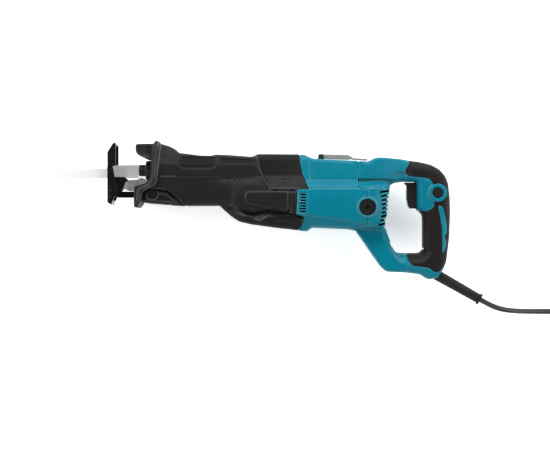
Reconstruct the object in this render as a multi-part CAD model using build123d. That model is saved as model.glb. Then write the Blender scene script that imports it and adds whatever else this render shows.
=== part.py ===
"""Corded reciprocating saw, lying on its right side as it is put down on a bench.

+X runs back along the tool (the blade points to -X), +Y runs to the top of the tool and +Z is up from the
bench, towards the tool's left side. The origin is under the middle of the saw, at bench height.
Every shape is modelled about the tool's mid-plane, z = 0, and lifted by HALF_WIDTH when it is written.
"""
from build123d import *

import os
from math import atan2, degrees, hypot, pi, radians, sin, tan

# ---- driving dimensions, mm ----
HALF_WIDTH = 48.5     # over the two side pods of the gear case is twice this
STROKE_Y = 53.0       # height of the reciprocating axis
MOTOR_Y = 4.0         # height of the rotor axis
HALF_STROKE = 14.0
CRANK_X = 10.0        # the crank gear turns about an upright axis at this station
FIT = 0.05            # radial clearance of a running fit
PLAY = 0.4            # clearance between pieces that pass each other

# ---- moulded shells ----
COVER_WALL = 3.0      # rubber cover over the gear case
CASE_WALL = 3.0       # cast gear case
RUBBER = 2.6          # soft skin on the grip
HANDLE_WALL = 2.8
BARREL_HALF_Z = 33.0
POD_HALF_Z = 42.0
MOTOR_HALF_Z = 46.5
GRIP_HALF_Z = 18.0
STEP_X = -28.0        # the narrow barrel meets the wide gear case here
CASE_FRONT_X = -100.0
CASE_REAR_X = 58.0

# ---- drive train ----
PINION_TEETH = 8
GEAR_TEETH = 44
SHAFT_R = 9.0
GEAR_R = 31.0
CRANK_R = HALF_STROKE
YOKE_Y = 36.5         # underside of the yoke

CORE_X = (92.0, 130.0)          # laminations of the armature and the field
FRONT_BEARING_X = (51.0, 61.0)
REAR_BEARING_X = (166.0, 173.0)

# ---- front end ----
SHOE_X = -189.0
SHOE_PIVOT = (-180.0, 26.0)
SHOE_HALF_Z = 24.0
BAR_HALF_Z = 10.0
BAR_Y = (17.0, 25.0)
CLAMP_FRONT_X = -148.7
RELEASE_XY = (-129.0, 21.0)     # button that frees the shoe's bar

# ---- grip, brushes, hook and cord ----
LOCK_XY = (246.7, 23.3)
HANDLE_SCREWS = [(200, 57), (252, 42), (250, -62), (186, -71)]
HOOK_PIVOT = (92.5, 71.5)
BRUSH_X = 152.8
CAP_R = 10.9
CAP_TOP = 47.4
CAP_KEY = 5.0
CORD_D = 7.2
RELIEF_START = (246.0, -85.0)
RELIEF_END = (304.6, -118.4)

# ---- side outlines, (x, y) ----
BODY_TOP = [(-128, 86), (-119.4, 88.6), (-107.7, 85.1), (-99.8, 81.1), (-94.4, 75.8), (-67.8, 72.5),
            (-51.9, 72.1), (-46.6, 73.8), (1.3, 70.8), (9.3, 74.5), (64, 74.1), (71.8, 73), (81.1, 68.5),
            (91.8, 67.8), (155, 64.5), (164.4, 70), (183, 69)]
BODY_BOTTOM = [(183, 33), (181.1, 16.2), (179.2, -4.1), (176, -16.9), (168, -22), (139, -27.5),
               (129, -25.3), (80.6, -23.1), (74, -28.1), (62.4, -26.5), (33.3, -23.3), (1.3, -18.8),
               (-14.6, -15.3), (-25.3, -8.6), (-35.9, 0.7), (-41.2, 6), (-89, 6), (-128, 10)]
COVER_SEAM = [(64, 74.1), (65.7, 58.5), (67.8, 48.5), (74, 32), (75.5, 27.7), (61.2, 27.3),
              (59.6, -5.5), (70.5, -8.6), (68.4, -16.5), (62.4, -26.5)]
HANDLE_SEAM = [(141.2, 66), (141.2, 30), (152.8, 28), (152.8, -18), (139, -21), (139, -28)]
SHOE_HOUSING = [(-147, 11), (-143.1, 24.1), (-131.3, 28.3), (-109.2, 26.2), (-86.5, 5.6), (-134, 9)]
POD_SIDE = [(4, 100), (4, 46), (-15, 42.6), (-25, 32), (-28.5, 20), (-25.4, 7.4), (-18, -2), (-14, -60), (90, -60),
            (90, 100)]
POD_PANEL = [(-4, 24.9), (-8, 19.2), (-4.8, 7.9), (5.7, 6.3), (49.2, -1.7), (49.2, 24.1)]
GUARD = [(-126.2, 92), (-128.7, 85.1), (-130.5, 67.3), (-132, 41.9), (-137.3, 35.9), (-145.6, 33.4),
         (-152.4, 31.7), (-153.3, 29.9), (-153.3, 4.7), (-147.8, 3.3), (-142.3, 11.8), (-146.6, 11.3),
         (-143.1, 24.1), (-131.3, 28.3), (-124.5, 37.6), (-120.6, 75), (-119.4, 88.6), (-122, 92)]
VISOR = [(-127, 88.2), (-151.6, 87.4), (-152.4, 79), (-150, 73.3), (-136.3, 66.1), (-127, 66.5)]
HANDLE = [(160, 69.4), (171.6, 70.1), (198.2, 68.1), (222.5, 64.6), (239, 60.8), (250.4, 54.4),
          (258, 45.5), (261.9, 35.4), (263.9, 16.2), (264.5, -2.8), (263.2, -34.7), (259.4, -66.5),
          (256.2, -76.6), (247.9, -89.4), (236.5, -92), (231.4, -90), (223.7, -85), (203.4, -82.3),
          (179.2, -81.1), (171.6, -74.1), (139, -27.5), (153, -21), (166, -16), (168, 44)]
HAND_OPENING = [(194.4, 37.9), (183, 32.9), (181.1, 16.2), (179.2, -4.1), (176, -16.9), (181.8, -33.4),
                (189.4, -52.5), (193.2, -56.3), (222.5, -56.3), (227.6, -51.2), (227.6, -9.2),
                (222.5, -1.6), (221, 3), (221.8, 16), (221, 37.9)]
SOFT_SKIN = [(208.5, 80), (209.7, 62.1), (203.4, 53.2), (204, 48), (209.7, 45.5), (235.1, 42.3),
             (240.3, 36.6), (242.2, 10), (241.5, 3.6), (232.6, -1.6), (214, -0.3), (214, -50),
             (205.9, -56.9), (208.5, -66.5), (213.6, -72.9), (235.1, -76.1), (241.5, -81.1),
             (247.9, -81.8), (254.3, -74.1), (280, -70), (280, 80)]

# ---- cross sections, half of each, (z, y) from the bottom up ----
BARREL_SECTION = [(26, 2), (BARREL_HALF_Z, 14), (BARREL_HALF_Z, 60), (20, 95)]
POD_SECTION = [(28, -30), (POD_HALF_Z, -12), (POD_HALF_Z, 30), (32, 46), (29, 80)]
MOTOR_SECTION = [(28, -32), (40, -17), (MOTOR_HALF_Z, -7), (MOTOR_HALF_Z, 28), (34, 38), (29, 80)]
TAIL_PROFILE = [(40, MOTOR_HALF_Z), (164, MOTOR_HALF_Z), (176, 41), (183, 34)]   # (x, z)


def outline(points, radius=0.0, inset=0.0):
    """A closed face, with rounded corners, drawn in by an inset."""
    line = FilletPolyline(*points, radius=radius, close=True) if radius else Polyline(*points, close=True)
    face = make_face(line)
    return offset(face, amount=-inset, kind=Kind.INTERSECTION) if inset else face


def slab(points, low, high, radius=0.0, inset=0.0):
    """A side outline as a plate from z = low to z = high."""
    return Pos(0, 0, low) * extrude(outline(points, radius, inset), amount=high - low)


def bar(half, x0, x1, inset=0.0):
    """A symmetrical cross section, given as its right half, as a bar from x0 to x1."""
    points = list(half) + [(-z, y) for z, y in reversed(half)]
    face = Rot(0, 90, 0) * outline(points, 0.0, inset)
    return Pos(x0, 0, 0) * extrude(face, amount=x1 - x0, dir=(1, 0, 0))


def block(x0, x1, y0, y1, z0, z1):
    return Pos((x0 + x1) / 2, (y0 + y1) / 2, (z0 + z1) / 2) * Box(x1 - x0, y1 - y0, z1 - z0)


def rod_x(r, x0, x1, y, z=0.0):
    return Pos((x0 + x1) / 2, y, z) * Rot(0, 90, 0) * Cylinder(r, x1 - x0)


def rod_y(r, y0, y1, x, z=0.0):
    return Pos(x, (y0 + y1) / 2, z) * Rot(90, 0, 0) * Cylinder(r, y1 - y0)


def rod_z(r, z0, z1, x, y):
    return Pos(x, y, (z0 + z1) / 2) * Cylinder(r, z1 - z0)


def ring_x(r_in, r_out, x0, x1, y):
    return rod_x(r_out, x0, x1, y) - rod_x(r_in, x0 - 1, x1 + 1, y)


def both_sides(part):
    return part + mirror(part, Plane.XY)


def helix_x(coil_r, wire_r, x0, x1, turns, y):
    """A coil spring along X, its wire swept round a helix."""
    path = Helix(pitch=(x1 - x0) / turns, height=x1 - x0, radius=coil_r)
    wire = Plane(origin=path @ 0, z_dir=path % 0) * Circle(wire_r)
    return Pos(x0, y, 0) * Rot(0, 90, 0) * sweep(wire, path)


# ---- shells: the outer form of the body, drawn in by any amount ----
def body_form(inset=0.0):
    """Barrel, gear case and motor as one form; walls and cavities are the same form drawn in."""
    side = slab(BODY_TOP + BODY_BOTTOM, -60, 60, 0.0, inset)
    barrel = bar(BARREL_SECTION, -128 + inset, 12, inset)
    pod = bar(POD_SECTION, STEP_X + inset, 70, inset) & slab(POD_SIDE, -60, 60, 0.0, inset)
    motor = bar(MOTOR_SECTION, 62 + inset, 200, inset)
    tail = list(TAIL_PROFILE) + [(x, -z) for x, z in reversed(TAIL_PROFILE)]
    plan = Pos(0, 100, 0) * Rot(90, 0, 0) * extrude(outline(tail, 0.0, inset), amount=200)
    front = side & (barrel + pod)
    return front + (side & motor & plan)


def handle_form(inset=0.0):
    """The D-handle behind the motor, with its hand opening."""
    low_arm = [(139, -27.5), (171.6, -74.1), (179.2, -81.1), (200, -82.2), (200, -54), (176, -16)]
    form = slab(HANDLE, -GRIP_HALF_Z + inset, GRIP_HALF_Z - inset, 0.0, inset)
    form += slab(low_arm, -GRIP_HALF_Z - 2 + inset, GRIP_HALF_Z + 2 - inset, 0.0, inset)
    return form - slab(HAND_OPENING, -40, 40, 0.0, -inset)


SEAM_FRONT = COVER_SEAM + [(62.4, -60), (-200, -60), (-200, 120), (64, 120)]
SEAM_MOTOR = COVER_SEAM + [(62.4, -60), (139, -60)] + HANDLE_SEAM[::-1] + [(141.2, 120), (64, 120)]


def bar_channel(x0, x1):
    """Clearance round the shoe bar."""
    return block(x0, x1, BAR_Y[0] - PLAY, BAR_Y[1] + PLAY, -BAR_HALF_Z - PLAY, BAR_HALF_Z + PLAY)


def front_cover():
    """Rubber cover with the hand guard, the visor over the blade clamp and the two side pods."""
    shell = body_form() & slab(SEAM_FRONT, -60, 60)
    guard = slab(GUARD, -44, 44) & bar([(30, 0), (40, 14), (40, 70), (26, 93)], -160, -100)
    visor = slab(VISOR, -27, 27) - slab([(-160, 60), (-160, 84.4), (-126, 85), (-126, 60)], -24, 24)
    shell += guard + visor
    shell += slab(POD_PANEL, -HALF_WIDTH, HALF_WIDTH)
    shell -= body_form(COVER_WALL) & block(CASE_FRONT_X - 1, 90, -60, 120, -60, 60)
    shell -= block(-170, CASE_FRONT_X, BAR_Y[1] + 1, 80, -24, 24)
    shell -= slab(SHOE_HOUSING, -60, 60)
    return shell - block(-170, CASE_FRONT_X + 2, BAR_Y[0] - 1, BAR_Y[1] + 2, -14, 14)


def shoe_housing():
    """Plastic housing under the barrel that the shoe's bar slides through."""
    shell = slab(SHOE_HOUSING, -30, 30) & bar([(20, 0), (30, 14), (30, 40)], -160, -80)
    shell -= bar_channel(-160, -80)
    shell -= rod_z(4.5, 14, 31, *RELEASE_XY) + rod_z(5.4, 14, 24, *RELEASE_XY)
    return shell - block(-170, CASE_FRONT_X, BAR_Y[1] + 1, 40, -24, 24) - case_solid()


def release_button():
    """Push button that frees the shoe's bar."""
    return rod_z(4.2, 18.3, 30.6, *RELEASE_XY) + rod_z(5.0, 18.3, 20.3, *RELEASE_XY)


def case_solid():
    """Outside of the cast gear case, with the barrel nose and the channel for the shoe bar."""
    case = body_form(COVER_WALL + 0.2) & block(CASE_FRONT_X, CASE_REAR_X, -60, 120, -60, 60)
    return case


def case_bosses(r, x0, x1):
    return [rod_x(r, x0, x1, y, z) for y, z in ((-6, 34), (-6, -34), (27, 34), (27, -34))]


def gear_housing():
    """Cast gear case: a hollow casting round the front bush, the shoe channel and the crank gear."""
    hollow = body_form(COVER_WALL + 0.2 + CASE_WALL)
    case = case_solid() - (hollow & block(CASE_FRONT_X + 4, 70, -60, 120, -60, 60))
    case += rod_x(15.5, CASE_FRONT_X, -44, STROKE_Y)
    case += block(CASE_FRONT_X, -52, BAR_Y[0] - 3, BAR_Y[1] + 3, -14, 14)
    case += rod_y(16, -15, -4.5, CRANK_X) & case_solid()
    for boss in case_bosses(4.5, 44, CASE_REAR_X):
        case += boss & case_solid()
    case -= bar_channel(-110, -56)
    case -= rod_x(12, CASE_FRONT_X - 1, -72, STROKE_Y) + rod_x(10.5, -73, -40, STROKE_Y)
    case -= rod_y(13, -13, -4, CRANK_X)
    for hole in case_bosses(1.75, 45, 60):
        case -= hole
    return case


def bearing_plate():
    """Plate that closes the gear case and holds the front motor bearing and the rear bush."""
    plug = body_form(COVER_WALL + CASE_WALL + 0.4) & block(50, CASE_REAR_X, -60, 120, -60, 60)
    plate = plug + (body_form(COVER_WALL + 0.2) & block(CASE_REAR_X, 61, -60, 120, -60, 60))
    for boss in case_bosses(4.8, 40, CASE_REAR_X):
        plate -= boss
    for hole in case_bosses(1.9, 40, 70):
        plate -= hole
    plate -= rod_x(16, 51, 70, MOTOR_Y) + rod_x(9, 40, 70, MOTOR_Y)
    return plate - rod_x(12, 40, 70, STROKE_Y)


def case_screws():
    """Four screws through the bearing plate into the gear case."""
    shanks = case_bosses(1.7, 46, 61)
    heads = case_bosses(3.4, 61, 64)
    return Compound(children=[shank + head for shank, head in zip(shanks, heads)])


def motor_housing():
    """One-piece moulded housing round the motor, with the ring for each brush cap."""
    shell = body_form() & slab(SEAM_MOTOR, -60, 60)
    shell += both_sides(rod_z(13.4, 30, HALF_WIDTH, BRUSH_X, MOTOR_Y))
    shell -= body_form(COVER_WALL) & block(0, 200, -60, 120, -60, 60)
    shell -= block(55, 61.4, -60, 120, -60, 60)
    for side in (-1, 1):
        shell -= rod_z(11.1, min(40 * side, 60 * side), max(40 * side, 60 * side), BRUSH_X, MOTOR_Y)
        shell -= block(BRUSH_X - 6.6, BRUSH_X + 6.6, MOTOR_Y - 8.1, MOTOR_Y + 8.1,
                       min(20 * side, 41 * side), max(20 * side, 41 * side))
        for k in range(7):
            y = 20.2 - 3.65 * k
            shell -= block(63.4, 72.1, y - 1.05, y + 1.05, min(35 * side, 60 * side), max(35 * side, 60 * side))
    return shell


def handle_solid():
    """Both halves of the handle, without the soft skin, before they are split."""
    seam = HANDLE_SEAM + [(139, -100), (300, -100), (300, 120), (141.2, 120)]
    form = (body_form() & slab(seam, -60, 60)) + handle_form()
    form -= soft_skin()
    form -= both_sides(rod_z(13.6, 25, 60, BRUSH_X, MOTOR_Y))
    bosses = Compound(children=[rod_z(4.4, -16, 16, x, y) for x, y in HANDLE_SCREWS]) & form
    hollow = (body_form(HANDLE_WALL) & slab(seam, -60, 60)) + handle_form(RUBBER + HANDLE_WALL)
    hollow += slab([(150, 40), (200, 46), (200, 60), (150, 58)], -12, 12)
    hollow += slab([(150, -20), (172, -16), (184, -62), (168, -60)], -12, 12)
    form -= hollow
    form += rod_z(12.1, 10, GRIP_HALF_Z + 2.4, *LOCK_XY)
    form -= rod_z(7.0, 5, 30, *LOCK_XY) + rod_z(9, 5, 13.5, *LOCK_XY)
    form += bosses
    form -= slab([(200, 1.8), (234, 1.8), (234, 37.9), (200, 37.9)], -9.3, 9.3)
    for k in range(9):
        form -= vent_slot(k)
    form -= strain_relief()
    return form


def vent_slot(k):
    """One slanted air outlet behind the brushes, through both sides."""
    y = 24.3 - 5.36 * k
    left = 171 + 4 * sin(pi * (k + 1) / 9)
    right = 181 - 0.1 * k * k
    return slab([(left, y - 1.6), (right, y - 0.4), (right, y + 1.6), (left, y + 0.4)], -60, 60)


def half_space(side):
    return block(100, 320, -150, 150, 0, 80) if side > 0 else block(100, 320, -150, 150, -80, 0)


def handle_half(side):
    """One half of the handle; the left half has the lock ring and the right half the screw heads."""
    half = handle_solid() & half_space(side)
    for x, y in HANDLE_SCREWS:
        if side < 0:
            half -= rod_z(2.1, -30, 1, x, y) + rod_z(3.8, -60, -12, x, y)
        else:
            half -= rod_z(2.0, -1, 11, x, y)
    return half


def soft_skin():
    """Rubber skin round the grip and the back of the handle."""
    skin = (handle_form() - handle_form(RUBBER)) & slab(SOFT_SKIN, -60, 60)
    return skin - rod_z(12.1, 0, 60, *LOCK_XY)


def grip_half(side):
    return soft_skin() & half_space(side)


def handle_screws():
    """Screws that hold the two handle halves together, entered from the right side."""
    return Compound(children=[rod_z(2.0, -12, 10, x, y) + rod_z(3.6, -14.2, -12, x, y)
                              for x, y in HANDLE_SCREWS])


def strain_relief():
    """Tapered rubber strain relief with a collar at its tip."""
    dx = RELIEF_END[0] - RELIEF_START[0]
    dy = RELIEF_END[1] - RELIEF_START[1]
    length = hypot(dx, dy)
    half = Polyline((0, 0), (7.2, 0), (6.3, length - 2.7), (7.8, length - 2.7), (7.8, length), (0, length),
                    close=True)
    cone = revolve(Rot(90, 0, 0) * make_face(half), axis=Axis.Z)
    turn = degrees(atan2(dy, dx))
    return Pos(RELIEF_START[0], RELIEF_START[1], 0) * Rot(0, 0, turn) * Rot(0, 90, 0) * cone


# ---- motor ----
def stator_form(x0, x1, half_z, half_y):
    ring = block(x0, x1, MOTOR_Y - half_y, MOTOR_Y + half_y, -half_z, half_z)
    ring = fillet(ring.edges().filter_by(Axis.X), 12)
    return ring - rod_x(20.2, x0 - 1, x1 + 1, MOTOR_Y)


def stator_core():
    """Laminated iron ring round the armature."""
    return stator_form(*CORE_X, 36, 23.5)


def field_windings():
    """The two ends of the copper field coils, either side of the laminations."""
    front = stator_form(CORE_X[0] - 9, CORE_X[0], 30, 22)
    rear = stator_form(CORE_X[1], CORE_X[1] + 8, 30, 22)
    return Compound(children=[front, rear])


def rotor_shaft():
    """Armature shaft with the pinion cut in its front end."""
    shaft = rod_x(3.9, 33.5, 41.5, MOTOR_Y) + rod_x(5, 41.5, 51, MOTOR_Y)
    shaft += rod_x(6, 51, 66, MOTOR_Y) + rod_x(7, 66, CORE_X[1] + 9, MOTOR_Y)
    shaft += rod_x(5, CORE_X[1] + 9, 165.6, MOTOR_Y) + rod_x(4, 165.6, 174, MOTOR_Y)
    tooth = [(-0.9, 3.2), (0.9, 3.2), (0.4, 5.8), (-0.4, 5.8)]
    for k in range(PINION_TEETH):
        face = Rot(0, 90, 0) * outline(tooth)
        cut = Pos(33.5, 0, 0) * extrude(face, amount=8, dir=(1, 0, 0))
        shaft += Pos(0, MOTOR_Y, 0) * Rot(360 / PINION_TEETH * k, 0, 0) * cut
    return shaft


def armature_core():
    """Laminated armature with its winding slots."""
    core = ring_x(7, 19.6, *CORE_X, MOTOR_Y)
    for k in range(12):
        slot = block(CORE_X[0] - 1, CORE_X[1] + 1, 13, 21, -1.2, 1.2)
        core -= Pos(0, MOTOR_Y, 0) * Rot(30 * k, 0, 0) * slot
    return core


def armature_windings():
    """Copper end turns at both ends of the armature."""
    return Compound(children=[ring_x(7, 17.5, CORE_X[0] - 8, CORE_X[0], MOTOR_Y),
                              ring_x(7, 17.5, CORE_X[1], CORE_X[1] + 7, MOTOR_Y)])


def commutator():
    """Copper segments that the brushes run on."""
    drum = ring_x(5, 14, CORE_X[1] + 13, 163, MOTOR_Y)
    for k in range(24):
        slot = block(CORE_X[1] + 14, 164, 12.5, 15, -0.3, 0.3)
        drum -= Pos(0, MOTOR_Y, 0) * Rot(15 * k, 0, 0) * slot
    return drum


def cooling_fan():
    """Moulded fan on the front of the armature shaft."""
    fan = ring_x(7, 10, 66, 76, MOTOR_Y) + ring_x(9, 23, 66, 67.6, MOTOR_Y)
    for k in range(11):
        blade = block(67.6, 76, 9.5, 22.6, -0.8, 0.8)
        fan += Pos(0, MOTOR_Y, 0) * Rot(360 / 11 * k, 0, 0) * Rot(0, 12, 0) * blade
    return fan & rod_x(23, 60, 80, MOTOR_Y)


def ball_bearing(bore, outside, x0, x1):
    return ring_x(bore, outside, x0, x1, MOTOR_Y)


def bearing_bracket():
    """Moulded bridge across the handle halves that holds the rear motor bearing."""
    cup = ring_x(11, 14.5, REAR_BEARING_X[0], REAR_BEARING_X[1], MOTOR_Y)
    cup += ring_x(5, 12.5, REAR_BEARING_X[1], REAR_BEARING_X[1] + 1.5, MOTOR_Y)
    arms = both_sides(block(168, 172, MOTOR_Y - 5, MOTOR_Y + 5, 14, 38))
    return cup + (arms - rod_x(11, 160, 176, MOTOR_Y))


def brush_holder(side):
    """Square brass tube that guides a brush onto the commutator."""
    tube = block(BRUSH_X - 6.4, BRUSH_X + 6.4, MOTOR_Y - 7.9, MOTOR_Y + 7.9, 16, 40.4)
    tube -= block(BRUSH_X - 4.9, BRUSH_X + 4.9, MOTOR_Y - 6.4, MOTOR_Y + 6.4, 10, 50)
    return tube if side > 0 else mirror(tube, Plane.XY)


def carbon_brush(side):
    brush = block(BRUSH_X - 4.7, BRUSH_X + 4.7, MOTOR_Y - 6.2, MOTOR_Y + 6.2, 13.6, 29)
    brush -= rod_x(14 + FIT, BRUSH_X - 6, BRUSH_X + 6, MOTOR_Y)
    return brush if side > 0 else mirror(brush, Plane.XY)


def brush_spring(side):
    """Coil spring that presses the brush down from the cap."""
    path = Helix(pitch=2.2, height=10.4, radius=3.4)
    wire = Plane(origin=path @ 0, z_dir=path % 0) * Circle(0.45)
    spring = Pos(BRUSH_X, MOTOR_Y, 29.6) * sweep(wire, path)
    return spring if side > 0 else mirror(spring, Plane.XY)


def brush_cap(side):
    """Screw cap over a brush, dished, with a square recess for a key."""
    cap = rod_z(CAP_R, 41.2, CAP_TOP, BRUSH_X, MOTOR_Y) - rod_z(CAP_R - 2.2, CAP_TOP - 0.7, 50, BRUSH_X, MOTOR_Y)
    key = Rot(0, 0, 45) * Box(CAP_KEY, CAP_KEY, 6)
    cap -= Pos(BRUSH_X, MOTOR_Y, CAP_TOP) * key
    return cap if side > 0 else mirror(cap, Plane.XY)


# ---- crank and reciprocating drive ----
def crank_gear():
    """Crown gear that the pinion turns, on a stub axle."""
    gear = rod_y(GEAR_R, 10.4, 17, CRANK_X) + rod_y(6, -13, 10.4, CRANK_X) + rod_y(9, -3.5, 10.4, CRANK_X)
    for k in range(GEAR_TEETH):
        tooth = block(24, GEAR_R, 8.2, 10.6, -0.55, 0.55)
        gear += Pos(CRANK_X, 0, 0) * Rot(0, 360 / GEAR_TEETH * (k + 0.5), 0) * tooth
    return gear - rod_y(5, 13, 18, CRANK_X, CRANK_R)


def crank_bearing():
    """Ball bearing under the crank gear."""
    return rod_y(13, -13, -4.2, CRANK_X) - rod_y(6 + FIT, -14, -3, CRANK_X)


def crank_pin():
    """Pin that drives the yoke; it stops just under the yoke's slot."""
    return rod_y(5, 13, YOKE_Y - 0.3, CRANK_X, CRANK_R)


def counterweight():
    """Half ring on the gear, opposite the crank pin."""
    ring = rod_y(28, 17, 24, CRANK_X) - rod_y(13, 16, 25, CRANK_X)
    return ring & block(-40, 60, 10, 30, -40, -1)


def reciprocating_shaft():
    """Bored steel shaft that carries the blade, with the slotted blade holder at its nose."""
    shaft = rod_x(SHAFT_R, -124, 70, STROKE_Y) + rod_x(5.6, -147, -124, STROKE_Y)
    shaft -= rod_x(5.2, -60, 71, STROKE_Y)
    shaft -= block(-148, -127, STROKE_Y - 5.1, STROKE_Y + 5.1, -0.75, 0.75)
    return shaft - rod_z(1.6, -8, 8, -138, STROKE_Y)


def slider_yoke():
    """Slotted cross-head clamped round the shaft over the crank pin."""
    yoke = block(CRANK_X - 11, CRANK_X + 11, YOKE_Y, 57, -24, 24)
    yoke -= rod_x(SHAFT_R, -10, 40, STROKE_Y)
    return yoke - block(CRANK_X - 5.3, CRANK_X + 5.3, YOKE_Y - 1, 43, -19.5, 19.5)


def blade():
    """Bi-metal wood blade, teeth downwards, with its notched shank."""
    top = [(-128.2, 58), (-149.3, 58), (-149.3, 60.5), (-180, 60.2), (-194, 56), (-252, 54), (-264.5, 43)]
    teeth = []
    for k in range(23):
        x = -261 + 4.15 * k
        y = 40.9 + 0.05 * k
        teeth += [(x, y), (x + 1.2, y + 1.9)]
    body = slab(top + teeth + [(-163, 43), (-149.3, 42.8), (-149.3, 48), (-128.2, 48)], -0.65, 0.65)
    return body - rod_z(1.7, -2, 2, -138, STROKE_Y)


def clamp_pin():
    return rod_z(1.5, -5.2, 5.2, -138, STROKE_Y)


def sleeve_spring():
    return helix_x(10.9, 0.6, -124.2, -117.8, 3, STROKE_Y)


def clamp_sleeve():
    """Ribbed twist sleeve of the keyless blade clamp."""
    sleeve = rod_x(7.6, CLAMP_FRONT_X, -139.6, STROKE_Y) + rod_x(12.2, -139.6, -125, STROKE_Y)
    for k in range(14):
        rib = block(-139, -125.6, 11.6, 13, -1.1, 1.1)
        sleeve += Pos(0, STROKE_Y, 0) * Rot(360 / 14 * k, 0, 0) * rib
    return sleeve - rod_x(6.2, -150, -120, STROKE_Y)


def bush(x0, x1):
    return ring_x(SHAFT_R + FIT, 12, x0, x1, STROKE_Y)


# ---- shoe ----
def shoe_guide():
    """Cast channel over the bar, screwed to the gear case."""
    base = block(-158, CASE_FRONT_X, BAR_Y[1] + 1.2, 30, -21, 21)
    cheek = slab([(-168, 29), (-165.5, 37), (-160, 40), (-140, 41), (-120, 36), (CASE_FRONT_X, 36),
                  (CASE_FRONT_X, BAR_Y[1] + 1.2), (-163, BAR_Y[1] + 1.2)], 14.8, 21)
    guide = base + both_sides(cheek)
    return guide - both_sides(rod_y(1.8, 36, 50, -145, 18)) - both_sides(rod_y(1.8, 30, 50, -112, 18))


def guide_screws():
    """Screws on the cheeks of the guide."""
    return Compound(children=[rod_y(1.7, 36.4, 41, -145, z) + rod_y(3.2, 40.9, 43, -145, z) for z in (-18, 18)])


def shoe_bracket():
    """Notched bar that slides in its housing, with an eye for the shoe's pin."""
    bracket = block(-176, -64, *BAR_Y, -BAR_HALF_Z, BAR_HALF_Z)
    bracket += rod_z(5.4, -BAR_HALF_Z, BAR_HALF_Z, *SHOE_PIVOT)
    bracket += slab([(-180, 20.6), (-172, 17), (-172, 25), (-175, 27)], -BAR_HALF_Z, BAR_HALF_Z)
    for k in range(5):
        bracket -= rod_z(1.2, 6, 11, -132 + 7.5 * k, 16.9)
    return bracket - rod_z(2.5, -12, 12, *SHOE_PIVOT)


def shoe_pin():
    return rod_z(2.5, -15.4, 15.4, *SHOE_PIVOT)


def shoe_plate():
    """Pressed steel shoe: face plate with side flanges, blade window and two ears for the pin."""
    form = slab([(SHOE_X, 10.5), (-184, 7.5), (-180, 17), (-175, 21), (-174, 31), (-179.5, 44),
                 (-182, 58.4), (-178, 58.8), (-178, 88.5), (-181, 89.4), (SHOE_X, 77)], -SHOE_HALF_Z, SHOE_HALF_Z)
    form -= slab([(SHOE_X + 3, 13), (-160, 13), (-160, 86), (-180, 86), (SHOE_X + 3, 76)], -21.5, 21.5)
    ear = slab([(-186.5, 16), (-176, 18), (-172, 26), (-166, 32), (-163, 39.8), (-167.7, 44.3), (-179.5, 44.3),
                (-186.5, 44)], BAR_HALF_Z + 0.6, BAR_HALF_Z + 3.6)
    form += both_sides(ear)
    form -= rod_z(2.5 + FIT, -30, 30, *SHOE_PIVOT)
    return form - block(-200, -183, 34, 75, -6, 6)


# ---- grip fittings ----
def trigger():
    """Trigger, which slides straight back into the grip."""
    shape = [(202.4, 37), (206.5, 32.9), (206.5, 16.2), (208.5, 6.1), (211, 2.6), (226, 2.6), (226, 37)]
    return slab(shape, -8.8, 8.8, 0.8)


def switch_body():
    """Switch behind the trigger."""
    return block(234.2, 251, 5, 34, -8, 8)


def lock_button():
    """Button in the left side that keeps the trigger pulled."""
    return rod_z(6.6, 11, GRIP_HALF_Z + 3, *LOCK_XY) + rod_z(8.4, 11, 12.8, *LOCK_XY)


def cord_clamp():
    """Clip that grips the cord inside the heel of the handle."""
    return block(230, 241, -81, -78.4, -10, 10)


# ---- hook on top of the motor housing ----
def hook_bracket():
    """Two lugs with the cross pin that the hook turns on."""
    lugs = both_sides(slab([(88.5, 66), (97, 65.6), (95.6, 74.6), (89.6, 74.2)], 12, 14.5))
    return (lugs + rod_z(1.9, -14.5, 14.5, *HOOK_PIVOT)) - body_form(0.0)


def hook():
    """Folding steel hanging hook, bent from strip, folded down along the top."""
    strip = slab([(95.5, 71.6), (97, 74.4), (128, 73.4), (131.7, 72.3), (135, 69.4), (154, 68.2), (154, 66.4),
                  (134, 67.6), (130.4, 70.6), (97, 71.6)], -9, 9)
    sides = both_sides(slab([(96.5, 68.9), (96.5, 74.4), (128, 73.4), (131.7, 72.3), (131.7, 67.6)], 9, 11))
    eye = rod_z(3.2, -11, 11, *HOOK_PIVOT)
    arm = slab([(92.5, 73), (97, 74.2), (97, 69.4), (93, 69.4)], -11, 11)
    return strip + sides + eye + arm - rod_z(1.95, -20, 20, *HOOK_PIVOT)


# ---- cord ----
FLOOR = -HALF_WIDTH
LEAD_IN = FLOOR + CORD_D / 2
COIL_CENTRE = (465.0, -85.0)
COIL_R = 44.5
COIL_LAYERS = 3
COIL_HALF_WIDTH = 1.5 * CORD_D
COIL_TOP = FLOOR + COIL_LAYERS * CORD_D
CORD_ROUTE = [(304.6, -118.4, 0), (321, -127.75, 0), (338.5, -132.6, -6), (355, -134.6, -17),
              (372, -135.6, -29.5), (390, -136.1, -40), (410, -136.4, LEAD_IN), (430, -136.3, LEAD_IN)]
# from the top of the coil, over it and into the back of the plug, (x, y) from the coil's centre, z
TAIL_ROUTE = [(-38.5, 22.3, -30.5), (-44.5, 0, -30.2), (-38.5, -22.3, -27.7), (-21, -41, -23.9),
              (-1, -49.6, -22.5), (18.6, -50, -21.5), (35.4, -40.4, -20.3), (45, -23.6, -19),
              (45, -5, -18.4)]
PLUG_HALF_HEIGHT = 8.5


def tail_route():
    return [(COIL_CENTRE[0] + x, COIL_CENTRE[1] + y, z) for x, y, z in TAIL_ROUTE]


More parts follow.
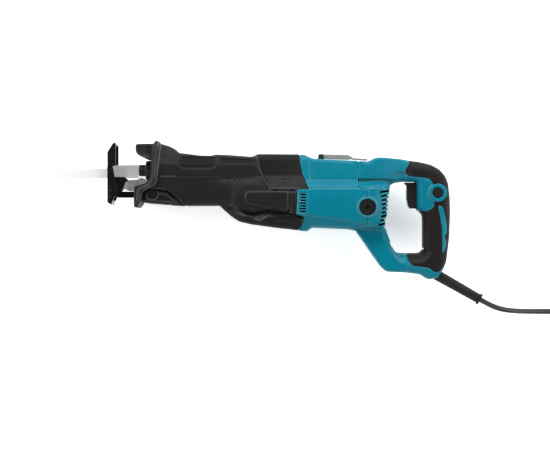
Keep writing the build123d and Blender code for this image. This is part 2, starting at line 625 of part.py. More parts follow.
def cord_path(points):
    """Straight runs joined by the largest arcs that the runs allow."""
    radii = []
    for before, here, after in zip(points, points[1:], points[2:]):
        a = Vector(*here) - Vector(*before)
        b = Vector(*after) - Vector(*here)
        turn = radians(a.get_angle(b))
        radii.append(0.45 * min(a.length, b.length) / tan(turn / 2))
    print("cord radii", [round(r, 1) for r in radii])
    return FilletPolyline(*points, radius=radii)


def cord_run(points):
    path = cord_path(points)
    return sweep(Plane(origin=path @ 0, z_dir=path % 0) * Circle(CORD_D / 2), path)


def cord_coil():
    """Outer form of the turns of cord that are put away."""
    x, y = COIL_CENTRE
    return (rod_z(COIL_R + COIL_HALF_WIDTH, FLOOR, COIL_TOP, x, y)
            - rod_z(COIL_R - COIL_HALF_WIDTH, FLOOR - 1, COIL_TOP + 1, x, y))


def plug(part):
    """Puts a piece of the plug, drawn along +X from its cord end, on top of the coil."""
    return Pos(*tail_route()[-1]) * Rot(0, 0, 90) * part


def plug_body():
    """Two-pin plug body, its back towards the cord."""
    face = make_face(FilletPolyline((12, -9), (22, -17.5), (46, -17.5), (46, 17.5), (22, 17.5), (12, 9),
                                    radius=3, close=True))
    body = Pos(0, 0, -PLUG_HALF_HEIGHT) * extrude(face, amount=2 * PLUG_HALF_HEIGHT)
    return plug(body + Pos(6.5, 0, 0) * Rot(0, 90, 0) * Cone(4.6, 6.5, 13))


def plug_pins():
    pins = [Pos(55.5, y, 0) * Rot(0, 90, 0) * Cylinder(2.4, 19) for y in (-9.5, 9.5)]
    return plug(Compound(children=pins))


# ---- every piece by name ----
PIECES = {
    "front_cover": front_cover, "shoe_housing": shoe_housing, "gear_housing": gear_housing,
    "bearing_plate": bearing_plate, "case_screws": case_screws, "motor_housing": motor_housing,
    "handle_left": lambda: handle_half(1), "handle_right": lambda: handle_half(-1),
    "grip_left": lambda: grip_half(1), "grip_right": lambda: grip_half(-1), "handle_screws": handle_screws,
    "front_bush": lambda: bush(-96.2, -72), "rear_bush": lambda: bush(50, 61),
    "shaft_seal": lambda: bush(CASE_FRONT_X, -96.2), "stator_core": stator_core,
    "field_windings": field_windings, "crank_bearing": crank_bearing, "bearing_bracket": bearing_bracket,
    "front_motor_bearing": lambda: ball_bearing(6 + FIT, 16, *FRONT_BEARING_X),
    "rear_motor_bearing": lambda: ball_bearing(4 + FIT, 11, *REAR_BEARING_X),
    "switch_body": switch_body, "cord_clamp": cord_clamp, "hook_bracket": hook_bracket,
    "rotor_shaft": rotor_shaft, "armature_core": armature_core, "armature_windings": armature_windings,
    "commutator": commutator, "cooling_fan": cooling_fan, "crank_gear": crank_gear, "crank_pin": crank_pin,
    "counterweight": counterweight, "reciprocating_shaft": reciprocating_shaft, "slider_yoke": slider_yoke,
    "saw_blade": blade, "clamp_pin": clamp_pin, "sleeve_spring": sleeve_spring, "clamp_sleeve": clamp_sleeve,
    "shoe_guide": shoe_guide, "guide_screws": guide_screws, "shoe_bracket": shoe_bracket,
    "shoe_pin": shoe_pin, "shoe_plate": shoe_plate, "shoe_release_button": release_button,
    "trigger": trigger, "lock_button": lock_button, "hook": hook, "strain_relief": strain_relief,
    "cord_tube": lambda: cord_run(CORD_ROUTE), "cord_tail": lambda: cord_run(tail_route()),
    "cord_coil": cord_coil, "plug_body": plug_body, "plug_pins": plug_pins,
}
for side, name in ((1, "left"), (-1, "right")):
    for label, maker in (("brush_holder", brush_holder), ("carbon_brush", carbon_brush),
                         ("brush_spring", brush_spring), ("brush_cap", brush_cap)):
        PIECES[f"{label}_{name}"] = lambda maker=maker, side=side: maker(side)

if __name__ == "__main__":
    os.makedirs("parts", exist_ok=True)
    for node, make in PIECES.items():
        export_step(Pos(0, 0, HALF_WIDTH) * make(), f"parts/{node}.step")
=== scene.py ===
import math

import bpy
import numpy as np
import openvdb
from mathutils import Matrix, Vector


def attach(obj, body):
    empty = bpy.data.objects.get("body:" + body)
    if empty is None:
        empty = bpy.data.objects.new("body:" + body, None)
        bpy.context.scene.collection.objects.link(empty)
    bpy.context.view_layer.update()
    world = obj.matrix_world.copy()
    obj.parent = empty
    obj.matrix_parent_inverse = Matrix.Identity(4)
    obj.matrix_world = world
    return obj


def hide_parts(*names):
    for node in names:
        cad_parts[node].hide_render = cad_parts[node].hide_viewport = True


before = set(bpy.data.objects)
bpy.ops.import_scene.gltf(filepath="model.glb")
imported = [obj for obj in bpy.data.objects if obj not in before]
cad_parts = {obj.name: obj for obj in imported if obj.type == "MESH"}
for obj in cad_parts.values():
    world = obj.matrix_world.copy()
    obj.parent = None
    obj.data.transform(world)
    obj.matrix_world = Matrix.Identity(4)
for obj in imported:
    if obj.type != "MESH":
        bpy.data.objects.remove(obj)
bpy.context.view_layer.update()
MM = 0.001
MID = 48.5            # height of the saw's mid-plane over the bench, mm


# ---------------------------------------------------------------------------------------------------------
# Camera. A long lens about two and a half metres up, looking straight down on the saw's left side, with the
# top of the tool upwards in the picture.
# ---------------------------------------------------------------------------------------------------------
VIEW_CENTRE = (31.9, -19.3)
VIEW_WIDTH = 731.5
LENS_DISTANCE = 2500.0
SENSOR = 36.0


def shown(name, data):
    """A new object in the scene."""
    made = bpy.data.objects.new(name, data)
    bpy.context.scene.collection.objects.link(made)
    return made


lens = bpy.data.cameras.new("camera")
lens.sensor_width = SENSOR
lens.lens = SENSOR * LENS_DISTANCE / VIEW_WIDTH
lens.clip_end = 20
eye = shown("camera", lens)
eye.location = (VIEW_CENTRE[0] * MM, VIEW_CENTRE[1] * MM, (MID + LENS_DISTANCE) * MM)
bpy.context.scene.camera = eye


# ---------------------------------------------------------------------------------------------------------
# Cord. A rubber-sheathed mains lead, 2.5 m long and 7.2 mm thick. It leaves the heel of the handle through
# a tapered strain relief, drops to the bench, and the spare length is wound in a neat round coil.
# ---------------------------------------------------------------------------------------------------------
SHEATH = 7.2
ROUTE = [(304.6, -118.4, 48.5), (321, -127.75, 48.5), (338.5, -132.6, 42.5), (355, -134.6, 31.5),
         (372, -135.6, 19), (390, -136.1, 8.5), (410, -136.4, 3.6), (430, -136.3, 3.6)]
COIL_CENTRE = (465, -85)
COIL_RADIUS = 44.5
COIL_START = math.radians(-92)
COIL_TURNS = 7 + 242 / 360
TURN_POINTS = 16
# over the coil and into the back of the plug, (x, y) from the coil's centre, z
TAIL = [(-44.5, 0, 18.3), (-38.5, -22.3, 20.8), (-21, -41, 24.6), (-1, -49.6, 26), (18.6, -50, 27),
        (35.4, -40.4, 28.2), (45, -23.6, 29.5), (45, -5, 30.1)]


def coil_turns():
    """Points along the turns: inwards on the bench, outwards on those, and part of a third layer."""
    points = []
    steps = round(COIL_TURNS * TURN_POINTS)
    for k in range(steps + 1):
        turn = COIL_TURNS * k / steps
        layer, across = divmod(turn, 3)
        ring = int(across)
        step = max(across - ring - 0.85, 0) / 0.15
        lift = layer + (step if ring == 2 else 0)
        place = ring + (step if ring < 2 else 0)
        inwards = place if layer % 2 == 0 else 2 - place
        radius = COIL_RADIUS + (1 - inwards) * SHEATH
        angle = COIL_START + turn * 2 * math.pi
        points.append((COIL_CENTRE[0] + radius * math.cos(angle), COIL_CENTRE[1] + radius * math.sin(angle),
                       SHEATH * (0.5 + lift)))
    return points


def lead():
    line = bpy.data.curves.new("cord", "CURVE")
    line.dimensions = "3D"
    line.bevel_depth = SHEATH / 2 * MM
    line.bevel_resolution = 6
    line.resolution_u = 8
    line.use_fill_caps = True
    tail = [(COIL_CENTRE[0] + x, COIL_CENTRE[1] + y, z) for x, y, z in TAIL]
    points = ROUTE + coil_turns() + tail
    spline = line.splines.new("NURBS")
    spline.points.add(len(points) - 1)
    for place, point in zip(spline.points, points):
        place.co = (point[0] * MM, point[1] * MM, point[2] * MM, 1)
    spline.order_u = 3
    spline.use_endpoint_u = True
    return shown("cord", line)


def node(tree, kind, inputs=None, **options):
    """Adds a node, sets its options, and sets or joins its inputs by name."""
    made = tree.nodes.new(kind)
    for key, value in options.items():
        setattr(made, key, value)
    for key, value in (inputs or {}).items():
        if isinstance(value, bpy.types.NodeSocket):
            tree.links.new(value, made.inputs[key])
        else:
            made.inputs[key].default_value = value
    return made


def effect(name, inputs, outputs):
    """A shader node group with number inputs, given with their usual values, and number outputs."""
    tree = bpy.data.node_groups.new(name, "ShaderNodeTree")
    for label, value in inputs.items():
        tree.interface.new_socket(label, in_out="INPUT", socket_type="NodeSocketFloat").default_value = value
    for label in outputs:
        tree.interface.new_socket(label, in_out="OUTPUT", socket_type="NodeSocketFloat")
    return tree, tree.nodes.new("NodeGroupInput").outputs, tree.nodes.new("NodeGroupOutput").inputs


def maths(tree, operation, a, b=0.0, clamp=False):
    return node(tree, "ShaderNodeMath", {0: a, 1: b}, operation=operation, use_clamp=clamp).outputs[0]


def noise(tree, place, scale, detail, roughness=0.5):
    """Fractal noise, as a number."""
    return node(tree, "ShaderNodeTexNoise", {"Vector": place, "Scale": scale, "Detail": detail,
                                             "Roughness": roughness}).outputs["Fac"]


def object_place(tree):
    return node(tree, "ShaderNodeTexCoord").outputs["Object"]


def grain_effect():
    """Spark-eroded mould texture: fine pebbles with softer, larger unevenness under them."""
    tree, given, result = effect("mould_grain", {"Size": 0.6, "Unevenness": 0.4}, ["Height", "Fleck"])
    place = object_place(tree)
    scale = maths(tree, "DIVIDE", 1000.0, given["Size"])
    pebble = node(tree, "ShaderNodeTexVoronoi", {"Vector": place, "Scale": scale}, feature="SMOOTH_F1")
    fine = noise(tree, place, scale, 2.0)
    bumps = maths(tree, "SUBTRACT", fine, pebble.outputs["Distance"])
    uneven = maths(tree, "MULTIPLY", noise(tree, place, 45.0, 4.0), given["Unevenness"])
    tree.links.new(maths(tree, "ADD", bumps, uneven), result["Height"])
    tree.links.new(maths(tree, "ADD", maths(tree, "MULTIPLY", fine, 0.35), uneven), result["Fleck"])
    return tree


def wear_and_highlight_effect():
    """Rubbed edges and painted edge highlights: where the shape is sharp, broken up by blotches."""
    tree, given, result = effect("edge_wear_and_highlight", {"Edge": 0.0, "Start": 0.2, "Amount": 0.6}, ["Mask"])
    blotch = noise(tree, object_place(tree), 130.0, 6.0, 0.7)
    reach = node(tree, "ShaderNodeMapRange", {"Value": given["Edge"], "From Min": given["Start"],
                                              "From Max": maths(tree, "ADD", given["Start"], 0.25)},
                 interpolation_type="SMOOTHSTEP").outputs["Result"]
    patchy = node(tree, "ShaderNodeMapRange", {"Value": blotch, "From Min": 0.35, "From Max": 0.62})
    mask = maths(tree, "MULTIPLY", reach, patchy.outputs["Result"])
    tree.links.new(maths(tree, "MULTIPLY", mask, given["Amount"], clamp=True), result["Mask"])
    return tree


def dust_effect():
    """Fine pale dust in hollows, and a thin uneven film of it elsewhere."""
    tree, given, result = effect("dust", {"Hollow": 0.0, "Film": 0.05}, ["Mask"])
    drift = noise(tree, object_place(tree), 30.0, 8.0, 0.65)
    film = maths(tree, "MULTIPLY", drift, given["Film"])
    caught = maths(tree, "MULTIPLY", drift, given["Hollow"])
    tree.links.new(maths(tree, "ADD", film, caught, clamp=True), result["Mask"])
    return tree


def brushed_effect():
    """Fine lines of a rolled, ground or turned metal face, drawn out along one direction."""
    tree, given, result = effect("drawn_lines", {"Along X": 20.0, "Along Y": 900.0, "Along Z": 900.0},
                                 ["Height", "Tone"])
    place = object_place(tree)
    stretch = node(tree, "ShaderNodeCombineXYZ", {"X": given["Along X"], "Y": given["Along Y"],
                                                  "Z": given["Along Z"]}).outputs[0]
    drawn = node(tree, "ShaderNodeVectorMath", {0: place, 1: stretch}, operation="MULTIPLY").outputs[0]
    lines = noise(tree, drawn, 1.0, 5.0)
    stains = noise(tree, place, 60.0, 5.0)
    tree.links.new(lines, result["Height"])
    tone = maths(tree, "ADD", maths(tree, "MULTIPLY", lines, 0.6), maths(tree, "MULTIPLY", stains, 0.4))
    tree.links.new(tone, result["Tone"])
    return tree


GRAIN, WEAR_AND_HIGHLIGHT, DUST, DRAWN = grain_effect(), wear_and_highlight_effect(), dust_effect(), brushed_effect()


def placed(tree, group, inputs):
    return node(tree, "ShaderNodeGroup", inputs, node_tree=group).outputs


def tint(tree, fac, a, b):
    """Blends two colours, each a plain colour or a socket."""
    return node(tree, "ShaderNodeMix", {0: fac, 6: a, 7: b}, data_type="RGBA").outputs[2]


def blank(name, **settings):
    """A new material's tree and shader, with constants set on the shader itself."""
    paint = bpy.data.materials.new(name)
    paint.use_nodes = True
    shader = paint.node_tree.nodes["Principled BSDF"]
    for key, value in settings.items():
        shader.inputs[key.replace("_", " ").title().replace("Ior", "IOR")].default_value = value
    return paint, paint.node_tree, shader


def sharpness(tree, gain):
    """How convex the surface is: above 0 at an edge, below 0 in a hollow."""
    pointed = node(tree, "ShaderNodeNewGeometry").outputs["Pointiness"]
    return maths(tree, "MULTIPLY", maths(tree, "SUBTRACT", pointed, 0.5), gain)


def wire(tree, shader, base, roughness, height, depth, strength):
    """Joins a colour, a roughness and a bump of so many millimetres to the shader."""
    bump = node(tree, "ShaderNodeBump", {"Height": height, "Distance": depth * MM, "Strength": strength})
    tree.links.new(base, shader.inputs["Base Color"])
    tree.links.new(roughness, shader.inputs["Roughness"])
    tree.links.new(bump.outputs[0], shader.inputs["Normal"])


DUST_COLOUR = (0.33, 0.31, 0.28, 1)


def moulding(name, colour, worn_highlight_colour, rough=0.5, grain=0.6, depth=0.06, edge=None, wear_and_highlight=0.5, film=0.04, painted_shade_and_dark_patch=None,
             painted_shade_and_dark_patch_rough=0.3, shine=0.5):
    """Moulded plastic or rubber: grain, uneven colour, edges lightened as wear and painted highlight, dust,
    and painted shade in darker patches with a roughness of their own.
    """
    paint, tree, shader = blank(name, specular_ior_level=shine)
    if edge is None:
        edge = sharpness(tree, 5.0)
    else:
        edge = node(tree, "ShaderNodeAttribute", attribute_name=edge).outputs["Fac"]
    grains = placed(tree, GRAIN, {"Size": grain, "Unevenness": 0.5})
    worn_highlight_mask = placed(tree, WEAR_AND_HIGHLIGHT, {"Edge": edge, "Start": 0.2, "Amount": wear_and_highlight})["Mask"]
    hollow = maths(tree, "MULTIPLY", edge, -1.5, clamp=True)
    dust = placed(tree, DUST, {"Hollow": hollow, "Film": film})["Mask"]
    darker = tuple(channel * 0.72 for channel in colour[:3]) + (1,)
    base = tint(tree, grains["Fleck"], darker, colour)
    roughness = maths(tree, "ADD", maths(tree, "MULTIPLY", grains["Fleck"], 0.18), rough - 0.07)
    if painted_shade_and_dark_patch:
        # painted shade: where the attribute is set, the colour darkens and the roughness changes
        spot = node(tree, "ShaderNodeAttribute", attribute_name="painted_shade_and_dark_patch").outputs["Fac"]
        base = tint(tree, spot, base, painted_shade_and_dark_patch)
        roughness = node(tree, "ShaderNodeMix", {0: spot, 2: roughness, 3: painted_shade_and_dark_patch_rough}).outputs[0]
    # painted highlight and wear: sharp edges are lightened towards the worn highlight colour
    base = tint(tree, worn_highlight_mask, base, worn_highlight_colour)
    base = tint(tree, dust, base, DUST_COLOUR)
    roughness = maths(tree, "ADD", roughness, maths(tree, "MULTIPLY", dust, 0.4), clamp=True)
    wire(tree, shader, base, roughness, grains["Height"], depth, 0.7)
    return paint


def finish(piece, paint):
    """Gives every face of a piece, or of a CAD node, one material."""
    if piece.material_slots:
        for place in piece.material_slots:
            place.material = paint
    else:
        piece.data.materials.append(paint)


cord_sheath = moulding("cord_sheath", (0.012, 0.011, 0.011, 1), (0.05, 0.05, 0.05, 1), rough=0.38, grain=0.35,
                       depth=0.02, wear_and_highlight=0.0, film=0.02)
cord = lead()
finish(cord, cord_sheath)
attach(cord, "saw_body")
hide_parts("cord_tube", "cord_coil", "cord_tail")


# ---------------------------------------------------------------------------------------------------------
# Front cover. A thick rubber boot over the gear case, moulded in one with the hand guard, the visor over the
# blade clamp and the two side pods. It is stretched over the casting and has no screws of its own.
# ---------------------------------------------------------------------------------------------------------
def eased(points, corner, is_open=False):
    """An outline with each corner drawn as a short curve."""
    if corner <= 0:
        return list(points)
    line = []
    for k, here in enumerate(points):
        if is_open and k in (0, len(points) - 1):
            line.append(here)
            continue
        back = np.subtract(points[k - 1], here)
        ahead = np.subtract(points[(k + 1) % len(points)], here)
        reach = min(corner, 0.45 * np.hypot(*back), 0.45 * np.hypot(*ahead))
        for t in (0.0, 0.33, 0.67, 1.0):
            line.append(tuple(here + back / np.hypot(*back) * reach * (1 - t) ** 2
                              + ahead / np.hypot(*ahead) * reach * t ** 2))
    return line


def ramp(value, low, high):
    """0 below low, 1 above high, and a smooth rise between them."""
    t = np.clip((value - low) / (high - low), 0, 1)
    return t * t * (3 - 2 * t)


def both(a, b, edge=0.0):
    """What two solids share, with the edge where they meet rounded."""
    if np.isscalar(edge) and edge <= 0:
        return np.maximum(a, b)
    return np.maximum(a, b) + np.maximum(edge - np.abs(a - b), 0) ** 2 / (4 * edge)


def either(a, b, fillet=0.0):
    """Two solids as one, with the corner between them filled."""
    return -both(-a, -b, fillet)


def baked(made):
    """A plain mesh of a piece with its modifiers applied."""
    return bpy.data.meshes.new_from_object(
        made.evaluated_get(bpy.context.evaluated_depsgraph_get()))


class Mould:
    """A moulded part on a fine grid, in mm, with z counted from the saw's mid-plane.

    In the side view it has outlines and lines; its outer face is a relief, the half-width at each place;
    and a solid is its distance field, negative inside."""

    def __init__(self, x_range, y_range, z_range, pitch):
        self.pitch = pitch
        self.x = np.arange(*x_range, pitch, dtype=np.float32)[:, None]
        self.y = np.arange(*y_range, pitch, dtype=np.float32)[None, :]
        self.z = np.arange(*z_range, pitch, dtype=np.float32)[None, None, :]
        self.over_x = self.x + 0 * self.y     # x and y all over the side view
        self.over_y = self.y + 0 * self.x

    def away(self, points, closed, corner):
        """Distance in the side view to an outline, negative inside it, or to an open line."""
        line = eased(points, corner, not closed)
        nearest = np.full((self.x.size, self.y.size), 1e9, dtype=np.float32)
        inside = np.zeros(nearest.shape, dtype=bool)
        ends = line[1:] + line[:1] if closed else line[1:]
        for (ax, ay), (bx, by) in zip(line, ends):
            run, rise = bx - ax, by - ay
            t = np.clip(((self.x - ax) * run + (self.y - ay) * rise) / (run * run + rise * rise + 1e-9), 0, 1)
            nearest = np.minimum(nearest, (self.x - ax - t * run) ** 2 + (self.y - ay - t * rise) ** 2)
            if closed and rise:
                inside ^= ((ay > self.y) != (by > self.y)) & (self.x < run * (self.y - ay) / rise + ax)
        nearest = np.sqrt(nearest)
        return np.where(inside, -nearest, nearest)

    def outline(self, points, corner=2.0):
        return self.away(points, True, corner)

    def line(self, points, corner=3.0):
        return self.away(points, False, corner)

    def disc(self, centre, radius):
        return np.hypot(self.x - centre[0], self.y - centre[1]) - radius

    def patch(self, points, edge=1.5, corner=2.0):
        """1 inside an outline, 0 outside it, with an eased edge."""
        return 1 - ramp(self.outline(points, corner), -edge / 2, edge / 2)

    def crease(self, points, width, corner=3.0):
        """1 along a line, fading to 0 on both sides of it."""
        return np.exp(-(self.line(points, corner) / width) ** 2)

    def across(self, section, shift=0.0):
        """Half-widths given up the section as (y, half-width), the same all along."""
        heights = [y for y, _ in section]
        return np.interp(self.over_y - shift, heights, [z for _, z in section])

    def along(self, plan):
        """Values given along the tool as (x, value)."""
        return np.interp(self.over_x, [x for x, _ in plan], [v for _, v in plan])

    def soften(self, relief, radius):
        """Rounds off a relief over a few millimetres."""
        reach = int(math.ceil(2.5 * radius / self.pitch))
        weights = np.exp(-(np.arange(-reach, reach + 1) * self.pitch / radius) ** 2)
        weights /= weights.sum()
        for axis in (0, 1):
            pad = [(reach, reach) if a == axis else (0, 0) for a in (0, 1)]
            wide = np.pad(relief, pad, mode="edge")
            size = relief.shape[axis]
            relief = sum(w * wide.take(range(k, k + size), axis=axis) for k, w in enumerate(weights))
        return relief

    def under(self, relief):
        """The space inside the outer face."""
        slope_x, slope_y = np.gradient(relief, self.pitch)
        slope = np.sqrt(1 + slope_x ** 2 + slope_y ** 2)
        return ((np.abs(self.z) - relief[:, :, None]) / slope[:, :, None]).astype(np.float32)

    def rounding(self, edge, seams):
        """How much to round between the side view and the outer face: little along seams."""
        near = np.minimum.reduce([self.line(seam, 0) for seam in seams])
        return 0.7 + (edge - 0.7) * ramp(near, 1.5, 9)

    def solid(self, side, relief, edge):
        edge = edge if np.isscalar(edge) else edge[:, :, None]
        return both(side[:, :, None], self.under(relief), edge)

    def block(self, x0, x1, y0, y1, z1, z0=-99.0):
        side = np.maximum(np.abs(self.x - (x0 + x1) / 2) - (x1 - x0) / 2,
                          np.abs(self.y - (y0 + y1) / 2) - (y1 - y0) / 2)
        return np.maximum(side[:, :, None], np.maximum(self.z - z1, z0 - self.z))

    def rod_x(self, r, x0, x1, y, z=0.0):
        around = np.hypot(self.y[:, :, None] - y, self.z - z) - r
        return np.maximum(around, np.abs(self.x[:, :, None] - (x0 + x1) / 2) - (x1 - x0) / 2)

    def rod_z(self, r, z0, z1, centre):
        return np.maximum(self.disc(centre, r)[:, :, None], np.abs(self.z - (z0 + z1) / 2) - (z1 - z0) / 2)

    def piece(self, name, field, mirrored=True, most=190000, painted_shade_and_dark_patch=None, flip=False):
        """Skins a distance field as a mesh, with its edges and its painted shade and dark patches written on
        it for the finish.
        """
        low = [self.x[0, 0], self.y[0, 0], self.z[0, 0, 0]]
        if mirrored:
            field = np.concatenate([field[:, :, :0:-1], field], axis=2)
            low[2] = -self.z[0, 0, -1]
        if flip:
            field = np.ascontiguousarray(field[:, :, ::-1])
            low[2] = -self.z[0, 0, -1]
        field = np.clip(field / self.pitch, -4, 4).astype(np.float32)
        skin = openvdb.FloatGrid(4.0)
        skin.copyFromArray(field, tolerance=0.0)
        spots, quads = skin.convertToQuads(0.0)
        mesh = bpy.data.meshes.new(name)
        mesh.from_pydata(spots, [], quads.tolist())
        made = shown(name, mesh)
        if 2 * len(quads) > most:
            thin = made.modifiers.new("thin", "DECIMATE")
            thin.ratio = most / (2 * len(quads))
            thin.use_collapse_triangulate = True
            thinned = baked(made)
            made.modifiers.remove(thin)
            made.data = thinned
            bpy.data.meshes.remove(mesh)
            mesh = thinned
            mesh.name = name
        spots = np.empty(len(mesh.vertices) * 3, dtype=np.float32)
        mesh.vertices.foreach_get("co", spots)
        spots = spots.reshape(-1, 3)

        def read(offset):
            """The field beside each vertex, read between the grid's points."""
            at = np.clip(spots + offset, 0, np.array(field.shape) - 1.001)
            cell = at.astype(int)
            part = at - cell
            total = 0.0
            for corner in np.ndindex(2, 2, 2):
                weight = np.prod(np.where(corner, part, 1 - part), axis=1)
                total = total + weight * field[tuple((cell + corner).T)]
            return total

        slope = np.stack([read(step) - read(-step) for step in 0.7 * np.eye(3)], axis=1)
        slope /= np.maximum(np.linalg.norm(slope, axis=1, keepdims=True), 1e-6)
        bend = np.mean([read(s * step) for step in 2.2 * np.eye(3) for s in (1, -1)], axis=0) - read(0)
        mesh.attributes.new("edge", "FLOAT", "POINT").data.foreach_set("value", bend.astype(np.float32))
        if painted_shade_and_dark_patch is not None:
            cell = np.clip(np.round(spots[:, :2]).astype(int), 0, np.array(painted_shade_and_dark_patch.shape) - 1)
            tone = painted_shade_and_dark_patch[cell[:, 0], cell[:, 1]].astype(np.float32)
            mesh.attributes.new("painted_shade_and_dark_patch", "FLOAT", "POINT").data.foreach_set("value", tone)
        spots = (spots * self.pitch + low + np.array([0, 0, MID])) * MM
        mesh.vertices.foreach_set("co", spots.astype(np.float32).ravel())
        mesh.shade_smooth()
        mesh.normals_split_custom_set_from_vertices(slope.tolist())
        mesh.update()
        return made


COVER_SIDE = [(-126, 89), (-119.4, 88.6), (-107.7, 85.1), (-99.8, 81.1), (-94.4, 75.8), (-83.8, 74.7),
              (-67.8, 72.5), (-51.9, 72.1), (-46.6, 73.8), (-30.6, 73.2), (1.3, 70.8), (9.3, 74.5),
              (64, 74.1), (65.6, 58.5), (67.7, 48.5), (73.9, 32), (75.3, 27.7), (61.1, 27.3), (59.5, -5.6),
              (70.3, -8.8), (68.2, -16.5), (62.3, -26.4), (33.3, -23.3), (1.3, -18.8), (-14.6, -15.3),
              (-25.3, -8.6), (-35.9, 0.7), (-41.2, 6), (-86.4, 5.9), (-109.1, 26.5), (-131.2, 28.6),
              (-126, 36)]
COVER_SEAMS = [[(64, 80), (66, 58), (68, 48.5), (74, 32), (75.6, 27.5), (61.3, 27.2), (59.7, -5.5),
                (70.6, -8.6), (68.5, -16.5), (62, -30)], [(-86, 5), (-109, 26.4), (-131, 28.5)]]
COVER_INSIDE = [(-99, 76), (-94, 72), (5, 69), (9, 71), (95, 71), (95, -23), (33, -20), (-14, -12), (-37, 5),
                (-80, 8.5), (-99, 26)]
COVER_WALL = 3.0
BARREL = [(-30, 22), (2, 27), (13, 33), (44, 33.8), (60, 33), (76, 27), (95, 14)]
GEAR_CASE = [(-30, 28), (-22, 34), (-13, 41), (26, 42), (44.5, 33.6), (46, 33), (68, 30), (76, 26)]
BULGE = [(62, 40), (4, 45.5), (-16, 42.5), (-26, 31), (-28.6, 20), (-25.4, 7.4), (-15, -3.2), (3, -8.2),
         (24, -2.4), (62, -7)]
UPPER_BLOCK = [(3, 90), (6, 68), (11, 52), (16, 44.8), (28, 26.2), (80, 26.2), (80, 90)]
SIDE_PANEL = [(-4, 25), (-8.4, 19.2), (-5.2, 7.9), (5.7, 5.6), (49.6, -2), (49.6, 25)]
GREY_PANEL = [(50.6, -4.5), (60.5, -5.2), (60.5, 25), (50.6, 25)]
RIB = [(2.6, 71), (8, 71), (12, 55), (16.4, 44.6), (28.4, 26.2), (24, 26.2), (8.7, 45.4), (5, 58)]
LOWER_RIB = [(-26.2, 7), (-20.5, -1.2), (-10.4, -6.6), (4, -10.6)]
FIN = [(2, -9.6), (11, -14.2), (17, -11), (26, -4.6), (26.4, -1.4), (22.5, -1.6), (12, -7)]
FINGER_HOLLOW = [(-93.5, 70.6), (-45.5, 69.8), (-45.5, 59), (-50, 55.2), (-90, 55.4), (-95, 60)]
THUMB_HOLLOW = [(-43, 69.6), (2.5, 67.2), (4.5, 62), (-43, 61.6)]
GUARD = [(-126.2, 92), (-128.7, 85.1), (-130.5, 67.3), (-131.2, 53), (-132, 41.9), (-137.3, 35.9),
         (-145.6, 33.4), (-152.2, 31.9), (-153.3, 29.9), (-153.3, 4.7), (-152, 3.5), (-148, 3.4),
         (-142.3, 11.8), (-143.1, 24.1), (-131.3, 28.3), (-124.5, 37.6), (-120.6, 75), (-119.4, 88.6),
         (-122, 92)]
GUARD_REAR = [(-121, 93), (-119.2, 88.6), (-120.4, 75), (-124.3, 37.6), (-131.1, 28), (-142.8, 24.1),
              (-142, 12), (-147.8, 3.3)]
GUARD_LIP = [(0, -2.5), (1.6, 3.0), (2.4, 3.6), (3.4, 3.2), (6.0, 0.6), (7.5, 0.2)]  # from the rear edge
VISOR = [(-124, 88.2), (-150.5, 87.6), (-151.8, 86), (-152.2, 79), (-150, 73.3), (-136.3, 66.1),
         (-124, 66.5)]
STROKE_Y = 53.0           # height of the line that the blade runs along
CASTING_WALL = 3.3
PLATE_BOSSES = (-6, 27)   # heights of the bosses that the closing plate is screwed to


def gear_case(mould, room):
    """The casting that fills the hollow of the cover: walls, the barrel round the front bush, the channel
    for the shoe bar, the seat of the crank bearing and bosses for the plate's screws."""
    within = np.maximum(room + 0.3, np.abs(mould.x[:, :, None] + 20.9) - 78.7)
    case = both(within, -(room + CASTING_WALL), 1.0)
    case = either(case, both(within, mould.block(-99.6, -95.6, -40, 90, 60)))
    case = either(case, both(within, mould.rod_x(15.5, -99.6, -44, STROKE_Y)), 1.5)
    case = either(case, both(within, mould.block(-99.6, -52, 14, 28, 14)), 1.0)
    for y in PLATE_BOSSES:
        case = either(case, both(within, mould.rod_x(4.5, 44, 57.8, y, 34)), 1.5)
    bar_channel = mould.block(-110, -56, 16.6, 25.4, 10.4)
    bore = np.minimum(mould.rod_x(12, -101, -72, STROKE_Y), mould.rod_x(10.5, -73, -40, STROKE_Y))
    case = both(both(case, -bar_channel), -bore)
    for y in PLATE_BOSSES:
        case = both(case, -mould.rod_x(1.75, 45, 60, y, 34))
    return mould.piece("gear_case", case, most=150000)


